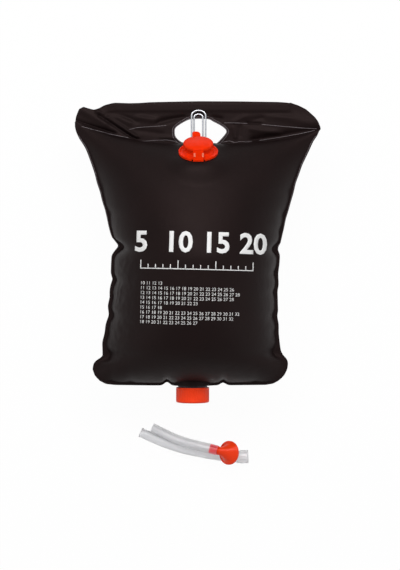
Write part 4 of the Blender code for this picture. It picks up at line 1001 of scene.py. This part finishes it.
class SHOWERBAG_OT_films(Operator):
    """Builds the two welded films with the beads that the welding left on them"""

    bl_idname = "showerbag.films"
    bl_label = "Welded films"

    def execute(self, context):
        settings, _ = scene_settings()
        material = pvc_film(settings)
        front = build_film(1, settings, material)
        build_film(-1, settings, material)
        # The beads' lighter colour is a painted highlight.
        weld = welded_edge()
        lines = [
            ("hand_hole_edge", hole_outline(HOLE_EDGE_OUT), HOLE_EDGE_BEAD, True),
            ("hand_hole_weld", hole_outline(HOLE_WELD_OUT), HOLE_WELD_BEAD, True),
        ]
        for name, corners in HEADER_WELDS_MM:
            lines.append((name, even_line(corners, BEAD_STEP), HEADER_WELD_BEAD, False))
        rows = BODY_EDGES[(BODY_EDGES[:, 0] > SEAM_EDGE_LOW) & (BODY_EDGES[:, 0] < SEAM_EDGE_HIGH)]
        for name, side, inset in (("left_seam_edge", 1, SEAM_EDGE_IN), ("right_seam_edge", 2, -SEAM_EDGE_IN)):
            corners = np.stack([rows[:, side] + inset, rows[:, 0]], axis=1) / MM
            lines.append((name, even_line(corners, SEAM_EDGE_STEP), SEAM_EDGE_BEAD, False))
        surface = surface_of(front)
        for name, line, radius, closed in lines:
            path = [laid_on(surface, point) for point in line]
            add_piece(name, swept(name, path, radius, closed), weld, "bag", "black_pvc_film")
        dress("header_batten", moulded_plastic("polypropylene_white", linear("E9E7E0"), 0.5))
        return {"FINISHED"}


class SHOWERBAG_OT_scale(Operator):
    """Prints the fill scale and a table of plain numbers on the front film"""

    bl_idname = "showerbag.scale"
    bl_label = "Fill scale"

    def execute(self, context):
        settings, _ = scene_settings()
        bm = bmesh.new()
        first = SCALE_MIDDLE_X - SCALE_STEP * (len(SCALE_NUMBERS) - 1) / 2
        for place, number in enumerate(SCALE_NUMBERS):
            spot = (first + place * SCALE_STEP, SCALE_NUMBER_Y)
            self.add_text(bm, number, spot, SCALE_NUMBER_SIZE, SCALE_NUMBER_WEIGHT, "CENTER")
        length = SCALE_STEP * (len(SCALE_NUMBERS) - 1)
        self.add_bar(bm, (first + length / 2, SCALE_LINE_Y), (length + SCALE_STROKE, SCALE_STROKE))
        for tick in range(SCALE_TICKS * (len(SCALE_NUMBERS) - 1) + 1):
            tall = SCALE_TICK if tick % SCALE_TICKS else SCALE_LONG_TICK
            spot = (first + tick * SCALE_STEP / SCALE_TICKS, SCALE_LINE_Y + SCALE_STROKE / 2 + tall / 2)
            self.add_bar(bm, spot, (SCALE_STROKE, tall))
        for line, count in enumerate(SCALE_TABLE_COUNTS):
            numbers = " ".join(str(10 + line + step) for step in range(count))
            corner = (SCALE_TABLE_LEFT, SCALE_TABLE_Y - line * SCALE_TABLE_PITCH)
            self.add_text(bm, numbers, corner, SCALE_TABLE_SIZE, 0, "LEFT")
        for axis in (Vector((1, 0, 0)), Vector((0, 1, 0))):
            reach = [vert.co @ axis for vert in bm.verts]
            for cut in np.arange(min(reach), max(reach), INK_CELL):
                everything = bm.verts[:] + bm.edges[:] + bm.faces[:]
                bmesh.ops.bisect_plane(bm, geom=everything, plane_co=axis * cut, plane_no=axis)
        bmesh.ops.rotate(bm, verts=bm.verts, cent=(0, 0, 0), matrix=Matrix.Rotation(SCALE_TILT, 3, "Z"))
        surface = surface_of(bpy.data.objects["front_film"])
        for vert in bm.verts:
            vert.co = laid_on(surface, vert.co, INK_LIFT)
        printed = mesh_from(bm, "fill_scale")
        ink = add_piece("fill_scale", printed, screen_ink(settings), "bag", "white_plastic")
        coat = ink.modifiers.new("coat", "SOLIDIFY")
        coat.thickness = INK_THICKNESS
        coat.offset = 1
        return {"FINISHED"}

    def add_text(self, bm, body, place, size, weight, align):
        text = bpy.data.curves.new("text", "FONT")
        text.body = body
        text.size = size
        text.offset = weight
        text.align_x, text.align_y = align, "CENTER"
        text.resolution_u = 3
        guide = bpy.data.objects.new("text", text)
        mesh = bpy.data.meshes.new_from_object(guide)
        mesh.transform(Matrix.Translation((*place, 0)))
        bm.from_mesh(mesh)
        bpy.data.objects.remove(guide)
        bpy.data.meshes.remove(mesh)

    def add_bar(self, bm, middle, size):
        place = Matrix.Translation((*middle, 0)) @ Matrix.Diagonal((*size, 1, 1))
        bmesh.ops.create_grid(bm, x_segments=1, y_segments=1, size=0.5, matrix=place)


class SHOWERBAG_OT_filler(Operator):
    """Builds the filler: its flange, neck and strap, and its hinged cap with plug and pull tab"""

    bl_idname = "showerbag.filler"
    bl_label = "Filler"

    def execute(self, context):
        _, settings = scene_settings()
        red = moulded_plastic("polyethylene_red", settings.red, 0.36, shine=0.1)
        place = filler_place()
        add_piece("filler_flange", self.base(place), red, "bag", "red_plastic", "filler_base")
        add_piece("filler_lid", self.lid(place), red, "lid", "red_plastic", "filler_cap")
        # The ribs get a paler red: a painted highlight where the light catches them.
        pale = moulded_plastic("polyethylene_red_painted_highlight", linear("FF8468"), 0.3)
        add_piece("strap_ribs", self.ribs(place), pale, "bag", "red_plastic")
        return {"FINISHED"}

    def ribs(self, place):
        """The two round ribs on the strap, in a paler red that is a painted highlight along their crests."""
        root = Vector(STRAP_ROOT_MM)
        run = (Vector(STRAP_TOP_MM) - root).normalized()
        bm = bmesh.new()
        for x in STRAP_RIBS_X_MM:
            ends = [root + run * height for height in STRAP_RIB_HEIGHTS_MM]
            rib = swept("rib", [(x * MM, (end.x + 0.4) * MM, end.y * MM) for end in ends], STRAP_RIB_RADIUS)
            bm.from_mesh(rib)
            bpy.data.meshes.remove(rib)
        bm.transform(place)
        return mesh_from(bm, "strap_ribs")

    def base(self, place):
        profile = (
            (18.0, 0.3), (18.0, 13.5), (21.0, 13.5), (21.0, 5.6), (23.4, 3.2), (24.4, 1.9), (28.4, 1.7),
            (29.0, 3.4), (30.8, 3.4), (30.8, 0.3),
        )
        bm = turned([(r * MM, z * MM) for r, z in profile], 96, Matrix.Identity(4))
        knuckle = [
            (HINGE_Y / MM + 1.2 * math.cos(turn), HINGE_Z / MM + 1.2 * math.sin(turn))
            for turn in np.linspace(math.radians(-45), math.radians(135), 12)
        ]
        strap = [STRAP_ROOT_MM, (-28.6, 0.3), *knuckle]
        steps = [("UNION", self.bar(strap, -STRAP_HALF_WIDTH_MM, STRAP_HALF_WIDTH_MM))]
        for low in NOTCH_LEFT_ENDS_MM:
            notch = [(-37, -1), (-25.6, -1), (-25.6, 12), (-37, 12)]
            steps.append(("DIFFERENCE", self.bar(notch, low, low + NOTCH_WIDTH_MM)))
        return moulded("filler_flange", bm, steps, place, 0.35 * MM)

    def lid(self, place):
        dome = [
            (LID_RADIUS_MM * math.sin(turn), LID_BROW_MM + 5.8 * math.cos(turn))
            for turn in np.linspace(0, math.pi / 2, 12)
        ]
        hollow = [
            (PLUG_BORE_MM * math.sin(turn), 15.6 + 4.9 * math.cos(turn))
            for turn in np.linspace(math.pi / 2, 0, 10)
        ]
        profile = [
            *dome, (LID_RADIUS_MM, LID_FOOT_MM), (PLUG_RADIUS_MM, LID_FOOT_MM),
            (PLUG_RADIUS_MM, PLUG_FOOT_MM), (PLUG_BORE_MM, PLUG_FOOT_MM), *hollow,
        ]
        bm = turned([(r * MM, z * MM) for r, z in profile], LID_RIBS * 5, Matrix.Identity(4), closed=False)
        for vert in bm.verts:
            radius = vert.co.xy.length
            if 18.5 * MM < radius < 23.4 * MM and vert.co.z > 16.5 * MM:
                vert.co.z -= 0.2 * MM * (0.5 - 0.5 * math.cos(LID_RIBS * math.atan2(vert.co.y, vert.co.x)))
        lip = [
            (-LID_RADIUS_MM, LID_FOOT_MM), (-21.0, LID_FOOT_MM), (-21.0, LID_BROW_MM),
            (-LID_RADIUS_MM, LID_BROW_MM),
        ]
        steps = [("UNION", self.bar(lip, -7.5, 7.5))]
        tongue = [(-6.3, -2.5), (6.5, -2.5)]
        tongue += [
            (0.8 + 5.7 * math.cos(turn), 3.4 + 5.9 * math.sin(turn)) for turn in np.linspace(0, 1.4, 9)
        ]
        tongue += [
            (-3.1 - 3.2 * math.sin(turn), 6.4 + 3.2 * math.cos(turn))
            for turn in np.linspace(0, math.pi / 2, 7)
        ]
        tab = pushed([(x * MM, y * MM) for x, y in tongue], "Z", -1.0 * MM, 1.0 * MM)
        tab.transform(
            Matrix.Translation((-3.0 * MM, LID_RADIUS_MM * MM, LID_BROW_MM * MM))
            @ Matrix.Rotation(math.radians(30), 4, "X")
        )
        steps.append(("UNION", tab))
        return moulded("filler_lid", bm, steps, place, 0.5 * MM)

    def bar(self, outline, low, high):
        """A bar with an outline of (Y, Z) in millimetres, from low to high along X."""
        return pushed([(y * MM, z * MM) for y, z in outline], "X", low * MM, high * MM)


class SHOWERBAG_OT_outlet(Operator):
    """Builds the ribbed screw cap and finishes the spout, its nozzle and its seal"""

    bl_idname = "showerbag.outlet"
    bl_label = "Outlet"

    def execute(self, context):
        _, settings = scene_settings()
        red = moulded_plastic("polypropylene_red", settings.rose_red, 0.42, shine=0.35)
        cap = self.cap(settings.cap_ribs)
        add_piece("outlet_screw_cap", cap, red, "screw_cap", "red_plastic", "outlet_cap")
        black = moulded_plastic("polyethylene_black", linear("171618"), 0.42)
        dress("outlet_spout", black)
        dress("outlet_nozzle", black)
        dress("outlet_seal", moulded_plastic("rubber_black", linear("222224"), 0.75, 1.5))
        return {"FINISHED"}

    def cap(self, ribs):
        """The cap as a turned shell whose skirt is then drawn in between its ribs."""
        profile = (
            (0, 27.2), (23.2, 27.2), (23.6, 26.9), (24.9, 26.9), (25.9, 26.4), (26.5, 25.4), (26.5, 24.0),
            (26.5, 23.4), (26.5, 6.0), (26.5, 5.4), (26.5, 3.6), (26.2, 3.0), (25.7, 2.7), (CAP_BORE_MM, 2.7),
            (CAP_BORE_MM, 25.0), (0, 25.0),
        )
        bm = turned([(r * MM, z * MM) for r, z in profile], ribs * 6, Matrix.Identity(4), closed=False)
        for vert in bm.verts:
            radius = vert.co.xy.length
            if radius > 26.4 * MM and 5.6 * MM < vert.co.z < 23.8 * MM:
                wave = 0.5 - 0.5 * math.cos(ribs * math.atan2(vert.co.y, vert.co.x))
                vert.co.xy *= 1 - CAP_RIB_DEPTH * wave / radius
        bore = CAP_BORE_MM * MM
        helix = []
        for turn in np.linspace(0, THREAD_TURNS * math.tau, 60):
            height = (THREAD_FOOT_MM + THREAD_PITCH_MM * turn / math.tau) * MM
            helix.append((bore * math.cos(turn), bore * math.sin(turn), height))
        thread = swept("thread", helix, THREAD_RADIUS)
        bm.from_mesh(thread)
        bpy.data.meshes.remove(thread)
        bm.transform(outlet_place())
        return mesh_from(bm, "outlet_screw_cap", math.radians(35))


class SHOWERBAG_OT_loop(Operator):
    """Builds the hanging loop: two closed wires over the header and through the hand hole"""

    bl_idname = "showerbag.loop"
    bl_label = "Hanging loop"

    def execute(self, context):
        _, settings = scene_settings()
        low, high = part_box("hanging_loop")
        wire = settings.wire
        offset = (high.z - low.z - wire) / 2
        top, fold = high.y - wire / 2, low.y + wire / 2
        level = (high.z + low.z) / 2
        bm = bmesh.new()
        for middle, half, lower, inset in LOOP_RINGS:
            reach, foot = offset - inset, fold + 1.5 * inset
            points = self.arch(middle, half, top - lower, level + reach, 1)
            points += self.fold(middle + half, foot, reach, level, 1)
            points += self.arch(middle, half, top - lower, level - reach, -1)
            points += self.fold(middle - half, foot, reach, level, -1)
            ring = swept("ring", points, wire / 2, closed=True, resolution=5)
            bm.from_mesh(ring)
            bpy.data.meshes.remove(ring)
        rings = mesh_from(bm, "hanging_wire")
        add_piece("hanging_wire", rings, plated_wire(), "loop", "steel_wire", "hanging_loop")
        return {"FINISHED"}

    def arch(self, middle, half, top, height, direction):
        spring = top - ARCH_SHARE * half
        return [
            (middle - direction * half * math.cos(turn), spring + ARCH_SHARE * half * math.sin(turn), height)
            for turn in np.linspace(0, math.pi, 25)
        ]

    def fold(self, x, fold, offset, level, sign):
        return [
            (x, fold + offset - offset * math.sin(turn), level + sign * offset * math.cos(turn))
            for turn in np.linspace(0, math.pi, 17)
        ]


def smooth_route(route):
    """Points read from one smooth curve through a route's own points."""
    points = [np.array(point) for point in route]
    points = [2 * points[0] - points[1], *points, 2 * points[-1] - points[-2]]
    fine = []
    for first, start, end, last in zip(points, points[1:], points[2:], points[3:]):
        for share in np.linspace(0, 1, 12, endpoint=False):
            bend = (2 * first - 5 * start + 4 * end - last) * share ** 2
            twist = (3 * start - first - 3 * end + last) * share ** 3
            fine.append((2 * start + (end - first) * share + bend + twist) / 2)
    return np.array([*fine, points[-2]])


class SHOWERBAG_OT_hoses(Operator):
    bl_idname = "showerbag.hoses"
    bl_label = "Hoses"

    def execute(self, context):
        along = Vector(JOINTS["rose_pull"]["axis"]).normalized()
        clear = clear_hose("soft_pvc_clear")
        plain, path, length = self.hose(
            "plain_hose_clear", PLAIN_HOSE_ROUTE, PLAIN_HOSE_FLARE, clear, "loose_hose", "plain_hose"
        )
        stem_tinted_hose = clear_hose("soft_pvc_clear_painted_stem", (Vector(ROSE_HOSE_ROUTE[-1]), along))
        held, path, length = self.hose(
            "rose_hose_clear", ROSE_HOSE_ROUTE, 0, stem_tinted_hose, "shower_hose", "rose_hose"
        )
        return {"FINISHED"}

    def hose(self, name, route, flare, material, body, node):
        """A hollow tube along a smooth route. Its last stretch may widen."""
        line = smooth_route(route)
        along = np.concatenate([[0], np.cumsum(np.linalg.norm(np.diff(line, axis=0), axis=1))])
        wanted = np.linspace(0, along[-1], HOSE_STATIONS)
        path = np.stack([np.interp(wanted, along, line[:, axis]) for axis in range(3)], axis=1)
        share = np.clip((FLARE_LENGTH - (along[-1] - wanted)) / FLARE_RUN, 0, 1)
        wide = 1 + flare * share * share * (3 - 2 * share)
        mesh = swept(name, path, HOSE_RADIUS, resolution=10, shares=wide)
        tube = add_piece(name, mesh, material, body, "clear_pvc", node)
        wall = tube.modifiers.new("wall", "SOLIDIFY")
        wall.thickness = HOSE_WALL
        wall.offset = -1
        return tube, [tuple(point) for point in path], along[-1]


class SHOWERBAG_OT_rose(Operator):
    """Builds the shower rose in the end of its hose"""

    bl_idname = "showerbag.rose"
    bl_label = "Shower rose"

    def execute(self, context):
        _, settings = scene_settings()
        red = moulded_plastic("abs_red", settings.rose_red, 0.24, shine=0.4)
        end = Vector(ROSE_HOSE_ROUTE[-1])
        along = Vector(JOINTS["rose_pull"]["axis"]).normalized()
        back = Vector((
            math.sin(ROSE_TILT) * math.cos(ROSE_TURN),
            math.sin(ROSE_TILT) * math.sin(ROSE_TURN),
            math.cos(ROSE_TILT),
        ))
        side = back.cross(along).normalized()
        centre = end + along * ROSE_OUT - back * ROSE_DOWN
        head = Matrix.Translation(centre) @ Matrix((side, back.cross(side), back)).transposed().to_4x4()
        stem = Matrix.Translation(end) @ Matrix((side, along.cross(side), along)).transposed().to_4x4()
        bm = self.shell(head, stem)
        profile = [(4.2, -12.6), (4.2, 4.5), (7.1, 4.5), (7.1, 0.4), (6.8, 0.15), (STEM_RADIUS_MM, 0.15)]
        for foot in (-0.4, -4.4, -8.4):
            profile += [(STEM_RADIUS_MM, foot), (BARB_RADIUS_MM, foot - 0.3), (STEM_RADIUS_MM, foot - 3.6)]
        pipe = turned([(r * MM, z * MM) for r, z in profile], 48, stem)
        pipe_mesh = mesh_from(pipe, "stem")
        bm.from_mesh(pipe_mesh)
        bpy.data.meshes.remove(pipe_mesh)
        mesh = mesh_from(bm, "rose_funnel", math.radians(50))
        add_piece("rose_funnel", mesh, red, "rose", "rose_red_plastic", "rose_body")
        dress("rose_face", red)
        return {"FINISHED"}

    def shell(self, head, stem):
        """The slanting bell from the neck round the stem to the rim, and back up its hollow inside."""
        bm = bmesh.new()
        neck = stem @ Matrix.Translation((0, 0, ROSE_NECK)) @ Matrix.Scale(-1, 4, (0, 1, 0))
        shoulder = head @ Vector((0, 0, ROSE_SHOULDER))
        made = []
        for share in np.linspace(0, 1, 15):
            turn = share * math.pi / 2
            out, down = (share + 1 - math.cos(turn)) / 2, (share + math.sin(turn)) / 2
            ring = self.ring(bm, 1.0)
            for vert in ring:
                inner = neck.to_3x3() @ vert.co * ROSE_NECK_RADIUS
                arm = inner.lerp(head.to_3x3() @ vert.co * ROSE_SHOULDER_RADIUS, out)
                vert.co = neck.translation.lerp(shoulder, down) + arm
            made.append(ring)
        profile = (
            (19.5, 3.4), (19.7, 2.8), (19.7, 0.6), (19.3, 0.0), (18.4, 0.0), (18.1, 0.3), (18.1, 1.6),
            (12.0, 4.2), (5.0, 5.3),
        )
        for radius, z in profile:
            ring = self.ring(bm, radius * MM)
            for vert in ring:
                vert.co = head @ (vert.co + Vector((0, 0, z * MM)))
            made.append(ring)
        for first, second in zip(made, made[1:]):
            edges = [
                edge for ring in (first, second) for edge in {e for vert in ring for e in vert.link_edges}
                if edge.verts[0] in ring and edge.verts[1] in ring
            ]
            bmesh.ops.bridge_loops(bm, edges=edges)
        for ring in (made[0], made[-1]):
            bmesh.ops.contextual_create(bm, geom=ring)
        bmesh.ops.recalc_face_normals(bm, faces=bm.faces)
        return bm

    def ring(self, bm, radius):
        return bmesh.ops.create_circle(bm, cap_ends=False, radius=radius, segments=72)["verts"]


class SHOWERBAG_OT_stage(Operator):
    """Sets the camera, the pale floor and the soft lights"""

    bl_idname = "showerbag.stage"
    bl_label = "Stage"

    def execute(self, context):
        settings = context.scene.shower_bag_stage
        self.set_camera(context, settings)
        self.add_floor(context)
        self.add_lights(context, settings)
        context.scene.view_settings.view_transform = "Standard"
        return {"FINISHED"}

    def set_camera(self, context, settings):
        data = bpy.data.cameras.new("photo_camera")
        camera = bpy.data.objects.new("photo_camera", data)
        context.scene.collection.objects.link(camera)
        camera.location = (1.2 * MM, -53 * MM, SEAM_LEVEL + settings.distance)
        data.sensor_fit = "HORIZONTAL"
        data.angle = 2 * math.atan(settings.view_width / 2 / settings.distance)
        data.clip_end = 50
        context.scene.camera = camera

    def seen(self, tree):
        """One for the rays that show the background, straight or by way of metal and clear plastic."""
        path = add_node(tree, "ShaderNodeLightPath")
        either = add_node(
            tree, "ShaderNodeMath",
            {0: path.outputs["Is Camera Ray"], 1: path.outputs["Is Glossy Ray"]}, operation="MAXIMUM"
        )
        return add_node(
            tree, "ShaderNodeMath",
            {0: either.outputs[0], 1: path.outputs["Is Transmission Ray"]}, operation="MAXIMUM"
        ).outputs[0]

    def add_floor(self, context):
        bm = bmesh.new()
        bmesh.ops.create_grid(bm, x_segments=1, y_segments=1, size=8)
        floor = bpy.data.objects.new("floor", mesh_from(bm, "floor"))
        floor.location.z = -FLOOR_DROP
        context.scene.collection.objects.link(floor)
        material, tree, shader = new_material("paper_white")
        feed(tree, shader, {"Base Color": linear("F4F4F4"), "Roughness": 0.9})
        glow = add_node(tree, "ShaderNodeEmission", {"Color": (1, 1, 1, 1), "Strength": 1.0})
        share = add_node(tree, "ShaderNodeMath", {0: self.seen(tree), 1: FLOOR_GLOW}, operation="MULTIPLY")
        mixed = add_node(
            tree, "ShaderNodeMixShader", {0: share.outputs[0], 1: shader.outputs[0], 2: glow.outputs[0]}
        )
        feed(tree, tree.nodes["Material Output"], {"Surface": mixed.outputs[0]})
        floor.data.materials.append(material)

    def add_lights(self, context, settings):
        for name, place, size, share in LAMPS:
            data = bpy.data.lights.new(name, "AREA")
            data.shape = "RECTANGLE"
            data.size, data.size_y = size
            data.energy = settings.key_power * share
            lamp = bpy.data.objects.new(name, data)
            lamp.location = place
            aim = Vector((0, 0, 0.1)) - lamp.location
            lamp.rotation_euler = aim.to_track_quat("-Z", "Y").to_euler()
            context.scene.collection.objects.link(lamp)
        world = bpy.data.worlds.new("studio")
        world.use_nodes = True
        context.scene.world = world
        tree = world.node_tree
        tree.nodes.clear()
        seen = self.seen(tree)
        room = add_node(tree, "ShaderNodeBackground", {"Color": (1, 1, 1, 1), "Strength": settings.room})
        white = add_node(tree, "ShaderNodeBackground", {"Color": (1, 1, 1, 1), "Strength": 1.0})
        mixed = add_node(
            tree, "ShaderNodeMixShader", {0: seen, 1: room.outputs[0], 2: white.outputs[0]}
        )
        add_node(tree, "ShaderNodeOutputWorld", {"Surface": mixed.outputs[0]})


class SHOWERBAG_PT_panel(Panel):
    """Lists the pieces of the shower bag and the sizes that can be changed"""

    bl_label = "Camp shower bag"
    bl_idname = "SHOWERBAG_PT_panel"
    bl_space_type = "VIEW_3D"
    bl_region_type = "UI"
    bl_category = "Shower bag"

    def draw(self, context):
        for name in ("film", "fittings", "stage"):
            settings = getattr(context.scene, "shower_bag_" + name)
            box = self.layout.box()
            for prop in settings.bl_rna.properties:
                if prop.identifier not in ("rna_type", "name"):
                    box.prop(settings, prop.identifier)
        for step in STEPS:
            self.layout.operator(step.bl_idname)


STEPS = (
    SHOWERBAG_OT_stage,
    SHOWERBAG_OT_rose,
    SHOWERBAG_OT_hoses,
    SHOWERBAG_OT_films,
    SHOWERBAG_OT_scale,
    SHOWERBAG_OT_filler,
    SHOWERBAG_OT_outlet,
    SHOWERBAG_OT_loop,
)
GROUPS = {"shower_bag_film": BagFilm, "shower_bag_fittings": Fittings, "shower_bag_stage": Stage}
CLASSES = (*GROUPS.values(), *STEPS, SHOWERBAG_PT_panel)


def register():
    for cls in CLASSES:
        bpy.utils.register_class(cls)
    for name, group in GROUPS.items():
        setattr(bpy.types.Scene, name, PointerProperty(type=group))


def unregister():
    for name in GROUPS:
        delattr(bpy.types.Scene, name)
    for cls in reversed(CLASSES):
        bpy.utils.unregister_class(cls)


def main():
    register()
    for step in STEPS:
        family, name = step.bl_idname.split(".")
        getattr(getattr(bpy.ops, family), name)()


if __name__ == "__main__":
    main()
